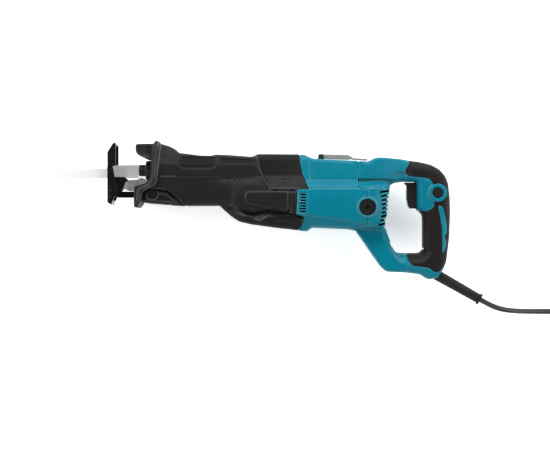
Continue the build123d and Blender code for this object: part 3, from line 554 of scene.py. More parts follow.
def front_cover():
    mould = Mould((-156, 80), (-32, 97), (0, 51), 0.85)
    relief = mould.across(BARREL)
    case = mould.across(GEAR_CASE)
    step = ramp(mould.over_x, -34, -6) * ramp(-mould.over_y, -4, 6)
    relief = relief * (1 - step) + np.maximum(relief, case) * step
    upper = mould.patch(UPPER_BLOCK, 1.6, 1.0)
    relief = mould.soften(relief, 1.4) * (1 - upper) + case * upper
    # the bulge over the crank gear, in a shallow pocket, with a flat panel and a grey end panel on it
    inwards = -mould.outline(BULGE, 9)
    dome = 31.5 + 11.0 * np.sqrt(np.clip(1 - (1 - np.clip(inwards / 21, 0, 1)) ** 2, 0, 1))
    in_bulge = ramp(inwards, -0.5, 0.8) * (1 - upper)
    relief = relief * (1 - in_bulge) + dome * in_bulge
    relief = relief + mould.patch(SIDE_PANEL, 2.4, 4) * np.clip(MID - 0.2 - relief, 0, 8)
    relief += mould.patch(GREY_PANEL, 1.2, 1) * np.clip(45.5 - relief, -9, 9)
    # ribs and hollows
    left = mould.line([(2, 72), (5, 58), (8.7, 45.4), (24, 26)], 2)
    relief += mould.patch(RIB, 1.0, 1.0) * (0.8 + 3.0 * np.clip(left / 5.5, 0, 1)) * ramp(mould.y, 24, 50)
    relief += 2.0 * mould.crease(LOWER_RIB, 1.7, 6)
    fin_top = mould.line([(2, -9.6), (12, -7), (26, -1.6)], 2)
    relief += mould.patch(FIN, 1.0, 1.0) * (0.6 + 0.75 * fin_top)
    relief -= 2.4 * mould.patch(FINGER_HOLLOW, 3.2, 5)
    relief -= 1.9 * mould.patch(THUMB_HOLLOW, 2.4, 3)
    relief -= 0.55 * mould.crease([(-118, 44.8), (-60, 45), (-33, 43.6)], 0.9)
    relief -= 1.3 * mould.crease([(27, 26.2), (76, 26.2)], 0.9, 0)
    for y in (39.8, 36.3):
        relief -= 1.8 * mould.patch([(39, y - 0.8), (54, y - 0.8), (54, y + 0.8), (39, y + 0.8)], 1.0, 0)
    for y in (-13, -16.2):
        relief -= 0.9 * mould.patch([(32, y - 0.5), (50, y - 1.4), (50, y - 0.2), (32, y + 0.7)], 1.0, 0)
    relief -= 0.9 * mould.crease([(27.5, -3.6), (70.2, -8.4)], 0.8, 0)
    rounding = mould.rounding(5.0, COVER_SEAMS)
    body = mould.solid(mould.outline(COVER_SIDE, 2) + 0.1, relief, rounding)
    # hand guard with its rolled lip, and the visor
    lip = np.interp(mould.line(GUARD_REAR, 5), *zip(*GUARD_LIP))
    flange = mould.across([(0, 28), (12, 38), (74, 39), (84, 34), (93, 24)]) + lip
    guard = mould.solid(mould.outline(GUARD, 4), flange, 2.0)
    brow = mould.across([(60, 24.5), (80, 27), (89, 26)])
    sunk = [(-149, 84.8), (-149, 76), (-136, 69.2), (-131, 69.2), (-131, 84.8)]
    brow = brow - 0.8 * mould.patch(sunk, 1.6, 2)
    visor = mould.solid(mould.outline(VISOR, 2.5), brow, 3.0)
    shell = either(either(body, guard, 1.5), visor, 1.0)
    # hollow for the casting, and the mouth that the clamp and the shoe bar come out of
    room_relief = np.minimum(mould.soften(relief, 4) - COVER_WALL, mould.soften(relief, 1.5) - 1.2)
    case_room = both(mould.solid(mould.outline(COVER_INSIDE, 3), room_relief, 3.0), body + 2.2)
    mouth = np.minimum(mould.block(-170, -98, 26.5, 77, 24), mould.block(-170, -127, 26.5, 84.4, 24))
    slot = mould.block(-170, -97, 16, 27.5, 14)
    # painted shade: the finger and thumb hollows, the underside of the bulge and the lower part darkened
    # towards the bottom; the upper block and the visor darkened too; the fin, side panel, lower rib and grey
    # panel left out of it
    tone = np.maximum.reduce([
        0.95 * mould.patch(FINGER_HOLLOW, 3, 5), 0.9 * mould.patch(THUMB_HOLLOW, 3, 3),
        0.9 * mould.patch([(17, 45), (64, 45.4), (62, 72), (11, 72), (12, 56)], 2, 2),
        0.85 * ramp(-mould.over_y, -2, 8) * in_bulge, 0.7 * ramp(-mould.over_y, 2, 10),
        0.55 * mould.patch(VISOR, 2, 2)])
    tone = tone * (1 - mould.patch(FIN, 1, 1)) * (1 - mould.patch(SIDE_PANEL, 1, 4))
    tone = tone * (1 - mould.crease(LOWER_RIB, 2, 6)) * (1 - mould.patch(GREY_PANEL, 1, 1))
    shell = both(both(shell, -case_room), both(-mouth, -slot))
    return mould.piece("cover_boot", shell, painted_shade_and_dark_patch=tone), gear_case(mould, case_room)


def cast_metal(name, colour, bright, rough=0.4, pit=1.0):
    """Die-cast alloy: a pebbled skin with darker pits, brighter where it is rubbed."""
    paint, tree, shader = blank(name, metallic=0.9)
    skin = placed(tree, GRAIN, {"Size": pit, "Unevenness": 0.7})
    rubbed = placed(tree, WEAR_AND_HIGHLIGHT, {"Edge": sharpness(tree, 4.0), "Start": 0.08, "Amount": 0.8})["Mask"]
    dull = tuple(channel * 0.6 for channel in colour[:3]) + (1,)
    base = tint(tree, rubbed, tint(tree, skin["Fleck"], dull, colour), bright)
    shine = maths(tree, "ADD", maths(tree, "MULTIPLY", skin["Fleck"], 0.25), rough - 0.1)
    wire(tree, shader, base, shine, skin["Height"], 0.08, 0.8)
    return paint


# the cover's rubber, with a near-black colour for its painted shade and dark patches
cover_rubber = moulding("cover_rubber", (0.0105, 0.0100, 0.0108, 1), (0.10, 0.10, 0.104, 1), rough=0.52,
                        grain=0.7, depth=0.05, edge="edge", wear_and_highlight=0.55, film=0.003,
                        painted_shade_and_dark_patch=(0.0022, 0.0021, 0.0022, 1), painted_shade_and_dark_patch_rough=0.62, shine=0.15)
casting = cast_metal("casting", (0.30, 0.30, 0.31, 1), (0.55, 0.55, 0.56, 1), rough=0.42, pit=1.1)
cover, case = front_cover()
finish(cover, cover_rubber)
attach(cover, "saw_body")
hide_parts("front_cover")
finish(case, casting)
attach(case, "saw_body")
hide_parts("gear_housing")


# ---------------------------------------------------------------------------------------------------------
# Motor housing. A one-piece teal moulding in glass-filled nylon, with air slots beside the fan and a raised
# ring round each brush cap. Four screws pull it against the gear case.
# ---------------------------------------------------------------------------------------------------------
MOTOR_SIDE = [(64.3, 73.8), (71.8, 73), (81.1, 68.5), (91.8, 67.8), (141.1, 65.3), (141.1, 30), (152.7, 28),
              (152.7, -18), (138.9, -21), (138.9, -27.3), (129, -25.3), (80.6, -23.1), (74, -28.1),
              (62.6, -26.6), (68.5, -16.5), (70.7, -8.7), (59.8, -5.4), (61.4, 27.1), (75.7, 27.6),
              (74.1, 32), (67.9, 48.5), (65.8, 58.5)]
MOTOR_INSIDE = [(40, 71), (141, 62.5), (200, 62.5), (200, -20), (139, -22.5), (80, -20), (40, -23)]
FLANK = [(-36, 20), (-20, 33), (-7.5, 44.6), (-5, 45.8), (4, 46.9), (16, 47.2), (27, 46.4), (29, 46),
         (38, 34.9), (40, 34), (66, 30), (76, 26)]
BELLY_LINE = [(61, -6), (71.8, -6), (135.7, -15.3), (152, -16.5)]
SEAM_LINE = [(75, 28.5), (141, 28.9), (170, 29.4), (176.5, 34.2), (184.2, 45.2), (190.9, 49.7), (203, 50.3)]
TAIL_PLAN = [(0, 60), (156, 52), (164, 47), (173, 43), (181, 38), (190, 30), (300, 18)]
COLLAR = [(60, 80), (60, 30), (80, 30), (82.7, 37.5), (84, 46), (80, 58), (78.5, 80)]
COLLAR_STEP = [(60, 80), (60, 29), (79, 29), (78, 38), (76.5, 46), (75.5, 80)]
MOTOR_SEAMS = [COVER_SEAMS[0],
               [(141.2, 80), (141.2, 30), (152.8, 28), (152.8, -18), (139, -21), (139, -30)]]
BRUSH = (152.8, 4.0)


def flank(mould):
    """Half-width of the motor: round flank, shelf, upright wall, and the tail behind the brushes."""
    drop = mould.along([(61, 0), (72, 0), (136, -9), (160, -10), (183, -6)])
    drop = drop * ramp(-mould.over_y, -8, 4)
    relief = mould.across(FLANK, shift=drop)
    relief = either(relief, mould.along(TAIL_PLAN), 5.0)
    relief = mould.soften(relief, 0.9)
    relief -= 1.3 * mould.crease(SEAM_LINE[:3], 0.8)
    relief -= 0.7 * mould.crease(BELLY_LINE, 0.8, 2)
    return relief


def brush_ring(mould, housing):
    """The raised ring for a brush cap, bored for the cap and its holder."""
    ring = both(mould.disc(BRUSH, 13.2)[:, :, None], np.maximum(mould.z - 48.3, 30 - mould.z), 1.2)
    return both(either(housing, ring, 1.2), -mould.rod_z(11.1, 40, 60, BRUSH))


def motor_housing():
    mould = Mould((55, 158), (-32, 78), (0, 51), 0.65)
    relief = flank(mould)
    relief += 0.9 * mould.patch(COLLAR, 5.5, 2) + 1.1 * mould.patch(COLLAR_STEP, 1.6, 2)
    relief -= 0.7 * mould.patch([(62.4, -3.6), (73.6, -3.6), (75.2, 22.9), (62.6, 22.9)], 1.2, 1)
    relief -= 0.5 * mould.crease([(152.8, 28), (152.8, 17)], 0.7, 0)
    relief += 0.7 * mould.patch([(60, 23.6), (63, 23.6), (62, -5), (60, -5)], 1.0, 0)
    shell = mould.solid(mould.outline(MOTOR_SIDE, 1.6) + 0.1, relief, mould.rounding(5.0, MOTOR_SEAMS))
    room = mould.solid(mould.outline(MOTOR_INSIDE, 3), mould.soften(flank(mould), 3) - 3.0, 3.0)
    hollow = both(shell, -room, 0.5)
    hollow = brush_ring(mould, hollow)
    hollow = both(hollow, -mould.block(146.2, 159.4, -4.1, 12.1, 41.5, 20))
    for k in range(7):
        y = 20.2 - 3.65 * k
        slot = mould.outline([(63.6, y - 1.05), (72.4, y - 1.05), (72.4, y + 1.05), (63.6, y + 1.05)], 0.6)
        hollow = both(hollow, -np.maximum(slot[:, :, None], 30 - mould.z))
    return mould.piece("motor_shell", hollow)


# the teal's near-black painted shade colour darkens the insides of the handle's air slots
teal_nylon = moulding("teal_nylon", (0.0001, 0.180, 0.256, 1), (0.05, 0.33, 0.40, 1), rough=0.36, grain=0.5,
                      depth=0.02, edge="edge", wear_and_highlight=0.55, film=0.003, painted_shade_and_dark_patch=(0.001, 0.008, 0.010, 1),
                      painted_shade_and_dark_patch_rough=0.7, shine=0.14)
motor = motor_housing()
finish(motor, teal_nylon)
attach(motor, "saw_body")
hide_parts("motor_housing")


# ---------------------------------------------------------------------------------------------------------
# Handle. Two teal half-shells screwed together from the right, with the D-grip, the air slots behind the
# brushes and a raised ring round the lock button. A soft black rubber skin is moulded over the grip.
# ---------------------------------------------------------------------------------------------------------
HANDLE_SIDE = [(141.3, 65.2), (155, 64.5), (159.5, 67.4), (164.4, 69.7), (171.6, 70.1), (198.2, 68.1),
               (208.5, 66.6), (222.5, 64.6), (239, 60.8), (250.4, 54.4), (258, 45.5), (261.9, 35.4),
               (263.9, 16.2), (264.4, -2.8), (263.2, -34.7), (259.4, -66.5), (256.2, -76.6),
               (247.9, -89.4), (236.5, -91.8), (231.4, -90), (223.7, -85), (203.4, -82.3),
               (179.2, -81.1), (171.6, -74.1), (139.2, -27.6), (139.2, -21.1), (152.95, -18.1),
               (152.95, 28.1), (141.3, 30.1)]
HAND_OPENING = [(200, 37.6), (189, 36.4), (183, 31.5), (181.1, 16.2), (179.2, -4.1), (176, -16.9),
                (181.8, -33.4), (188.4, -50), (193.2, -56.3), (222.5, -56.3), (227.6, -51.2), (227.6, -9.2),
                (226.2, -4.1), (222.5, -1.6), (219, 2), (219, 37.8)]
REAR_BODY = [(130, 40), (176, 40), (186, 34), (187, 10), (185, -12), (181, -22), (170, -24), (130, -22)]
LOW_ARM = [(130, -22), (176, -18), (183, -34), (190, -53), (207, -55), (207, -84), (165, -84)]
LOWER_BEVEL = [(184, -40), (190, -60), (198, -70.4), (243, -70.4), (240, -58), (228, -50), (222, -50),
               (194, -50)]
SOFT_EDGE = [(209, 80), (209.7, 62.1), (203.4, 53.2), (204, 48), (209.7, 45.5), (235.1, 42.3), (240.3, 36.6),
             (244, 23), (242.2, 10), (241.5, 3.6), (232.6, -1.6), (214, -0.3), (214, -50), (205.9, -56.9),
             (208.5, -66.5), (213.6, -72.9), (235.1, -76.1), (241.5, -81.1), (247.9, -81.8),
             (254.3, -74.1), (280, -70), (280, 80)]
TEAL_STRIPE = [(249.2, 7.3), (247.9, 3.6), (252.4, -21.9), (253, -43.6), (252.6, -57.6), (256.8, -52.5),
               (259.4, -42.3), (256.2, -34.7), (259.4, -29.5), (259.4, -19.3), (254.3, 3.6)]
LOCK = (246.7, 23.3)
HANDLE_SCREWS = [(200, 57), (252, 42), (250, -62), (186, -71)]
AIR_SLOTS = [(167.5 + 4.4 * math.sin(math.pi * (k + 1) / 9), 181.2 - 0.09 * k * k, 24.3 - 5.36 * k)
             for k in range(9)]
SKIN = 2.6
SHELL_WALL = 2.8


def handle_form(mould):
    """The whole handle with the rear of the motor, skin included, and its soft edge in the side view."""
    body = either(flank(mould), mould.along(TAIL_PLAN), 2.0)
    top_arm = mould.along([(141, 34), (158, 31), (176, 27), (196, 21.5), (214, 18.2)])
    raised = ramp(mould.over_y, 30, 40)
    body = body * (1 - raised) + np.minimum(body, top_arm) * raised
    grip = 18.3 + 0 * body
    in_body = mould.soften(mould.patch(REAR_BODY, 1, 4), 2.2)
    above = ramp(mould.over_y, 36, 42)
    weight = np.maximum(in_body, above)
    relief = grip + (body - grip) * weight
    relief = np.maximum(relief, 18.3 + 2.0 * mould.patch(LOW_ARM, 5, 3))
    # bevels along the hand opening, and the sunk field between the seam's upward run and the opening
    inner_edge = mould.line([(173, -12), (176, -16.9), (181.8, -33.4), (189.4, -52.5), (194, -57)], 3)
    relief -= 4.6 * (1 - ramp(inner_edge, 1.0, 7.5)) * ramp(-mould.over_y, 16, 26)
    fall = np.clip(1 - np.maximum(mould.outline(HAND_OPENING, 4), 0) / 13.5, 0, 1)
    relief -= 7.0 * fall * mould.patch(LOWER_BEVEL, 1.5, 3)
    field = [(171, 29.6), (176.5, 34.2), (184.2, 45.2), (190.9, 49.7), (203, 50.3), (206, 36), (180, 26)]
    relief -= 2.4 * mould.patch(field, 1.8, 3) * ramp(214 - mould.over_x, 0, 14)
    relief -= 0.9 * mould.crease([(137.4, -20.1), (150, -21.6), (166.3, -23.9)], 0.9)
    relief += 0.5 * mould.crease([(204, 48), (240, 40)], 1.3, 0)
    rounding = mould.rounding(5.0 + 8.0 * ramp(mould.over_x, 186, 214), MOTOR_SEAMS[1:])
    side = both(mould.outline(HANDLE_SIDE, 2.5) + 0.1, -mould.outline(HAND_OPENING, 4), 1.0)
    form = mould.solid(side, relief, rounding)
    skin_edge = both(mould.outline(SOFT_EDGE, 2.5), -mould.outline(TEAL_STRIPE, 1.5))
    return form, skin_edge[:, :, None]


def handle_halves():
    mould = Mould((135, 268), (-95, 74), (-2.2, 51), 0.72)
    form, skin_edge = handle_form(mould)
    skin = both(np.maximum(form, -(form + SKIN)), skin_edge + 0.15, 0.6)
    shell = both(form, np.minimum(0.15 - skin_edge, form + SKIN + 0.1), 0.5)
    shell = brush_ring(mould, shell)
    bosses = np.minimum.reduce([mould.rod_z(4.4, -1, 16, screw) for screw in HANDLE_SCREWS])
    middle_wall = mould.block(158, 192, -24, 36, 1.4)
    shell = both(shell, -both(form + SKIN + SHELL_WALL, -middle_wall))
    slots = [mould.outline([(left, y - 2.2), (right, y - 0.1), (right, y + 2.6), (left, y + 0.5)], 0.8)
             for left, right, y in AIR_SLOTS]
    slots = np.minimum.reduce(slots)
    shell = both(shell, -np.maximum(slots[:, :, None], 1.4 - mould.z), 0.4)
    # painted shade: the insides of the air slots are darkened
    inside = 1 - ramp(slots, -0.2, 0.5)
    shell = both(shell, -mould.block(198, 234, 1.8, 37.9, 9.3))
    around_cord = np.hypot(mould.line([(246, -85), (330, -133)], 0)[:, :, None], mould.z) - 7.4
    shell = both(shell, -around_cord)
    shell = either(shell, both(bosses, form + 1.0))
    left_half = either(shell, both(mould.disc(LOCK, 12.1)[:, :, None],
                                   np.maximum(mould.z - 20.7, 10 - mould.z), 1.4), 0.6)
    lock_bore = np.minimum(mould.rod_z(7.2, 5, 30, LOCK), mould.rod_z(9, 5, 13.5, LOCK))
    left_half = both(left_half, -lock_bore, 0.5)
    right_half = shell
    for screw in HANDLE_SCREWS:
        right_half = both(right_half, -mould.rod_z(3.9, 12, 60, screw), 0.4)
    left_skin = both(skin, -mould.rod_z(12.3, 0, 60, LOCK), 0.5)
    right_skin = skin
    for screw in HANDLE_SCREWS:
        right_skin = both(right_skin, -mould.rod_z(4.6, 5, 60, screw), 0.4)
    split = 0.1 - mould.z
    return [(mould.piece(name, np.maximum(field, split), mirrored=False, painted_shade_and_dark_patch=inside, flip=flip), node_name)
            for name, node_name, field, flip in (("handle_shell_left", "handle_left", left_half, False),
                                                 ("handle_shell_right", "handle_right", right_half, True),
                                                 ("grip_skin_left", "grip_left", left_skin, False),
                                                 ("grip_skin_right", "grip_right", right_skin, True))]


grip_rubber = moulding("grip_rubber", (0.0105, 0.0085, 0.009, 1), (0.06, 0.055, 0.058, 1), rough=0.5,
                       grain=0.55, depth=0.05, edge="edge", wear_and_highlight=0.25, film=0.003, shine=0.15)
for half, node_name in handle_halves():
    soft = node_name.startswith("grip")
    finish(half, grip_rubber if soft else teal_nylon)
    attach(half, "saw_body")
    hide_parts(node_name)


# ---------------------------------------------------------------------------------------------------------
# Shoe housing. A black plastic housing clipped under the barrel; the shoe's bar slides through it, and the
# round button in its side frees the bar.
# ---------------------------------------------------------------------------------------------------------
HOUSING_SIDE = [(-147, 11), (-143.1, 23.6), (-131.3, 27.9), (-109.2, 25.8), (-87.2, 5.4), (-89, 5.5),
                (-104.6, 6.4), (-105.2, 8), (-107, 8.2), (-107.4, 6.8), (-121, 8.1), (-134, 9)]
RELEASE = (-129.0, 21.0)


def shoe_housing():
    mould = Mould((-150, -84), (2, 32), (0, 33), 0.5)
    relief = mould.across([(0, 22), (6, 27), (13, 30), (40, 30)])
    relief -= 1.1 * mould.patch([(-136, 23.6), (-112, 22), (-94, 9.4), (-107, 10.4), (-137, 13.4)], 2, 2)
    relief += 0.8 * (1 - ramp(np.abs(mould.disc(RELEASE, 6.0)), 0.4, 1.2))
    shell = mould.solid(mould.outline(HOUSING_SIDE, 1.2) + 0.1, relief, 2.2)
    bar_way = mould.block(-160, -80, 16.6, 25.4, 10.4)
    button_way = np.minimum(mould.rod_z(4.5, 14, 40, RELEASE), mould.rod_z(5.4, 14, 24, RELEASE))
    shell = both(both(shell, -bar_way), -button_way)
    shell = both(shell, -mould.block(-170, -98, 26, 40, 24))
    shell = both(shell, -mould.block(-100, -60, 9, 40, 27.2))
    return mould.piece("bar_housing", shell)


black_nylon = moulding("black_nylon", (0.007, 0.007, 0.0073, 1), (0.07, 0.07, 0.075, 1), rough=0.42,
                       grain=0.45, depth=0.03, edge="edge", wear_and_highlight=0.4, film=0.004, shine=0.2)
housing = shoe_housing()
finish(housing, black_nylon)
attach(housing, "saw_body")
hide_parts("shoe_housing")


# ---------------------------------------------------------------------------------------------------------
# Buttons, trigger, switch, brush caps and fan. Small black nylon mouldings; their sharp edges are lightened,
# as wear where a finger rubs them and as painted highlight.
# ---------------------------------------------------------------------------------------------------------
black_parts = moulding("black_parts", (0.012, 0.012, 0.0125, 1), (0.085, 0.083, 0.082, 1), rough=0.36,
                       grain=0.4, depth=0.025, edge="edge", film=0.006, shine=0.3)
for name in ("trigger", "lock_button", "shoe_release_button", "switch_body", "brush_cap_left",
             "brush_cap_right", "cooling_fan", "cord_clamp", "bearing_bracket"):
    finish(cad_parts[name], black_parts)


# ---------------------------------------------------------------------------------------------------------
# Cast pieces. The shoe guide and the plate behind the gear case, in die-cast aluminium as it comes from the
# die, machined only where something seats.
# ---------------------------------------------------------------------------------------------------------
guide_casting = cast_metal("guide_casting", (0.46, 0.45, 0.47, 1), (0.80, 0.79, 0.81, 1), rough=0.34, pit=0.8)
finish(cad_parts["shoe_guide"], guide_casting)
finish(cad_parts["bearing_plate"], casting)


# ---------------------------------------------------------------------------------------------------------
# Shoe. Pressed steel, stove-enamelled gloss black, with its bar and pin; bare metal shows on rubbed corners.
# ---------------------------------------------------------------------------------------------------------
def enamel(name, colour, metal_show):
    """Black enamel or oxide over steel: slight orange peel, and a few nicks down to the metal."""
    paint, tree, shader = blank(name, specular_ior_level=0.3, coat_roughness=0.15)
    peel = placed(tree, GRAIN, {"Size": 1.6, "Unevenness": 0.6})
    specks = noise(tree, object_place(tree), 420.0, 4.0)
    nicks = node(tree, "ShaderNodeMapRange", {"Value": specks, "From Min": 0.68, "From Max": 0.72})
    chips = maths(tree, "MULTIPLY", nicks.outputs["Result"], metal_show)
    dark = tuple(channel * 0.6 for channel in colour[:3]) + (1,)
    base = tint(tree, chips, tint(tree, peel["Fleck"], dark, colour), (0.42, 0.41, 0.40, 1))
    shine = maths(tree, "ADD", maths(tree, "MULTIPLY", peel["Fleck"], 0.2), 0.2)
    coat = maths(tree, "SUBTRACT", 0.2, maths(tree, "MULTIPLY", chips, 0.2))
    tree.links.new(maths(tree, "MULTIPLY", chips, 0.9), shader.inputs["Metallic"])
    tree.links.new(coat, shader.inputs["Coat Weight"])
    wire(tree, shader, base, shine, peel["Height"], 0.03, 0.6)
    return paint


shoe_enamel = enamel("shoe_enamel", (0.006, 0.006, 0.0058, 1), 0.5)
for name in ("shoe_plate", "shoe_bracket"):
    finish(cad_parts[name], shoe_enamel)
oxide = enamel("black_oxide", (0.028, 0.028, 0.030, 1), 0.5)


# ---------------------------------------------------------------------------------------------------------
# Steel pieces. Ground shafts and pins, the blade, the zinc-plated hook, springs, screws and bearings. Each
# finish is drawn along the way its metal was worked.
# ---------------------------------------------------------------------------------------------------------
def worked_metal(name, colour, stained, rough, lines, depth=0.004, metallic=1.0):
    """Rolled, ground or turned metal: drawn lines, stains, and brighter corners."""
    paint, tree, shader = blank(name, metallic=metallic)
    drawn = placed(tree, DRAWN, {"Along X": lines[0], "Along Y": lines[1], "Along Z": lines[2]})
    base = tint(tree, drawn["Tone"], stained, colour)
    shine = maths(tree, "ADD", maths(tree, "MULTIPLY", drawn["Tone"], 0.22), rough - 0.1)
    wire(tree, shader, base, shine, drawn["Height"], depth, 0.8)
    return paint


LENGTHWAYS, ROUND_X, CROSSWAYS = (25, 1400, 1400), (1800, 120, 120), (900, 60, 900)
METALS = {
    "ground_steel": (worked_metal("ground_steel", (0.62, 0.62, 0.63, 1), (0.40, 0.40, 0.41, 1), 0.22,
                                  ROUND_X),
                     ("reciprocating_shaft", "rotor_shaft", "shoe_pin", "crank_pin", "clamp_pin",
                      "crank_bearing", "front_motor_bearing", "rear_motor_bearing", "case_screws")),
    "gear_steel": (worked_metal("gear_steel", (0.42, 0.41, 0.40, 1), (0.22, 0.21, 0.20, 1), 0.34, CROSSWAYS),
                   ("crank_gear", "counterweight", "slider_yoke")),
    "spring_steel": (worked_metal("spring_steel", (0.30, 0.30, 0.31, 1), (0.16, 0.16, 0.17, 1), 0.3, ROUND_X),
                     ("sleeve_spring", "brush_spring_left", "brush_spring_right")),
    "bronze": (worked_metal("bronze", (0.58, 0.38, 0.16, 1), (0.36, 0.22, 0.09, 1), 0.38, ROUND_X),
               ("front_bush", "rear_bush", "brush_holder_left", "brush_holder_right")),
    "copper": (worked_metal("copper", (0.72, 0.30, 0.13, 1), (0.46, 0.17, 0.07, 1), 0.3, (1500, 300, 300)),
               ("armature_windings", "field_windings", "commutator")),
    "laminations": (worked_metal("laminations", (0.20, 0.20, 0.21, 1), (0.09, 0.085, 0.085, 1), 0.4,
                                 (2000, 10, 10), depth=0.05),
                    ("stator_core", "armature_core")),
    "plated_pins": (worked_metal("plated_pins", (0.78, 0.76, 0.70, 1), (0.6, 0.58, 0.52, 1), 0.2, CROSSWAYS),
                    ("plug_pins",)),
}
for metal, names in METALS.values():
    for name in names:
        finish(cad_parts[name], metal)
blade_steel = worked_metal("blade_steel", (0.78, 0.795, 0.81, 1), (0.70, 0.71, 0.725, 1), 0.4, LENGTHWAYS,
                           metallic=0.1)
finish(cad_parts["saw_blade"], blade_steel)
zinc = worked_metal("zinc_plate", (0.58, 0.558, 0.54, 1), (0.42, 0.403, 0.388, 1), 0.36, LENGTHWAYS,
                    metallic=0.6)
finish(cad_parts["hook"], zinc)
finish(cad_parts["hook_bracket"], oxide)


# ---------------------------------------------------------------------------------------------------------
# Seals, brushes, strain relief and plug. Soft black mouldings, and pressed carbon with its soot.
# ---------------------------------------------------------------------------------------------------------
soft_black = moulding("soft_black", (0.012, 0.0115, 0.0115, 1), (0.06, 0.06, 0.06, 1), rough=0.5, grain=0.6,
                      depth=0.04, edge="edge", film=0.006, shine=0.2)
for name in ("shaft_seal", "strain_relief", "plug_body"):
    finish(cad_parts[name], soft_black)
pressed_carbon = moulding("pressed_carbon", (0.02, 0.02, 0.021, 1), (0.10, 0.10, 0.105, 1), rough=0.6,
                          grain=0.25, depth=0.03, edge="edge", film=0.0, shine=0.4)
for name in ("carbon_brush_left", "carbon_brush_right"):
    finish(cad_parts[name], pressed_carbon)


# ---------------------------------------------------------------------------------------------------------
# Twist sleeve. A black oxide steel sleeve, turned in one piece and sprung on the clamp; ribs round its two
# diameters let fingers turn it.
# ---------------------------------------------------------------------------------------------------------
SLEEVE_PROFILE = [(-148.7, 6.4), (-148.7, 7.1), (-148.3, 7.5), (-140.6, 7.5), (-139.6, 8.4), (-139.6, 11.5),
                  (-139.0, 12.2), (-126.0, 12.2), (-125.0, 11.3), (-125.0, 6.4)]


def geometry_effect(name, inputs):
    """A Geometry Nodes tree with named inputs; each is a socket type and its usual value."""
    tree = bpy.data.node_groups.new(name, "GeometryNodeTree")
    tree.interface.new_socket("Geometry", in_out="INPUT", socket_type="NodeSocketGeometry")
    for label, (kind, value) in inputs.items():
        made = tree.interface.new_socket(label, in_out="INPUT", socket_type="NodeSocket" + kind)
        if value is not None:
            made.default_value = value
    tree.interface.new_socket("Geometry", in_out="OUTPUT", socket_type="NodeSocketGeometry")
    return tree, tree.nodes.new("NodeGroupInput").outputs, tree.nodes.new("NodeGroupOutput").inputs


def made_real(tree, last, given, result):
    """Ends a tree: the instances become plain faces in the given finish."""
    real = node(tree, "GeometryNodeRealizeInstances", {"Geometry": last.outputs[0]})
    painted = node(tree, "GeometryNodeSetMaterial", {"Geometry": real.outputs[0],
                                                     "Material": given["Finish"]})
    tree.links.new(painted.outputs[0], result["Geometry"])
    return tree


def grown(made, tree, settings):
    """Runs a Geometry Nodes tree on a piece and keeps the result as its plain mesh."""
    grow = made.modifiers.new("grow", "NODES")
    grow.node_group = tree
    for item in tree.interface.items_tree:
        if item.in_out == "INPUT" and item.name in settings:
            grow[item.identifier] = settings[item.name]
    result = baked(made)
    made.modifiers.remove(grow)
    made.data = result
    return made


def turned(name, profile, height, segments=72):
    """A closed profile of (x, radius) turned about the line at a height that runs along the saw."""
    points, faces, count = [], [], len(profile)
    for k in range(segments):
        angle = 2 * math.pi * k / segments
        points += [(x * MM, (height + r * math.cos(angle)) * MM, (MID + r * math.sin(angle)) * MM)
                   for x, r in profile]
        for j in range(count):
            after, following = (j + 1) % count, (k + 1) % segments
            faces.append((k * count + j, following * count + j, following * count + after, k * count + after))
    mesh = bpy.data.meshes.new(name)
    mesh.from_pydata(points, [], faces)
    mesh.shade_smooth()
    mesh.set_sharp_from_angle(angle=0.6)
    return shown(name, mesh)


def rib_tree():
    """Round ribs, side by side on a circle about a line that runs along the saw."""
    tree, given, result = geometry_effect("ribs_round", {
        "Ribs": ("Int", 24), "Circle Radius": ("Float", 0.012), "Rib Radius": ("Float", 0.0007),
        "Rib Length": ("Float", 0.012), "Centre": ("Vector", (0, 0, 0)), "Finish": ("Material", None)})
    circle = node(tree, "GeometryNodeMeshCircle", {"Vertices": given["Ribs"],
                                                   "Radius": given["Circle Radius"]})
    rib = node(tree, "GeometryNodeMeshCylinder", {"Vertices": 12, "Radius": given["Rib Radius"],
                                                  "Depth": given["Rib Length"]})
    row = node(tree, "GeometryNodeInstanceOnPoints", {"Points": circle.outputs[0],
                                                      "Instance": rib.outputs[0]})
    laid = node(tree, "GeometryNodeTransform", {"Geometry": row.outputs[0], "Translation": given["Centre"],
                                                "Rotation": (0, math.pi / 2, 0)})
    joined = node(tree, "GeometryNodeJoinGeometry")
    tree.links.new(given["Geometry"], joined.inputs[0])
    tree.links.new(laid.outputs[0], joined.inputs[0])
    return made_real(tree, joined, given, result)


RIBS = rib_tree()
sleeve = turned("twist_sleeve", SLEEVE_PROFILE, STROKE_Y)
for ribs, radius, rib, length, x in ((24, 12.25, 0.72, 12.2, -132.4), (16, 7.35, 0.42, 6.6, -144.4)):
    grown(sleeve, RIBS, {"Ribs": ribs, "Circle Radius": radius * MM, "Rib Radius": rib * MM,
                         "Rib Length": length * MM, "Centre": (x * MM, STROKE_Y * MM, MID * MM),
                         "Finish": oxide})
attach(sleeve, "sleeve")
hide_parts("clamp_sleeve")


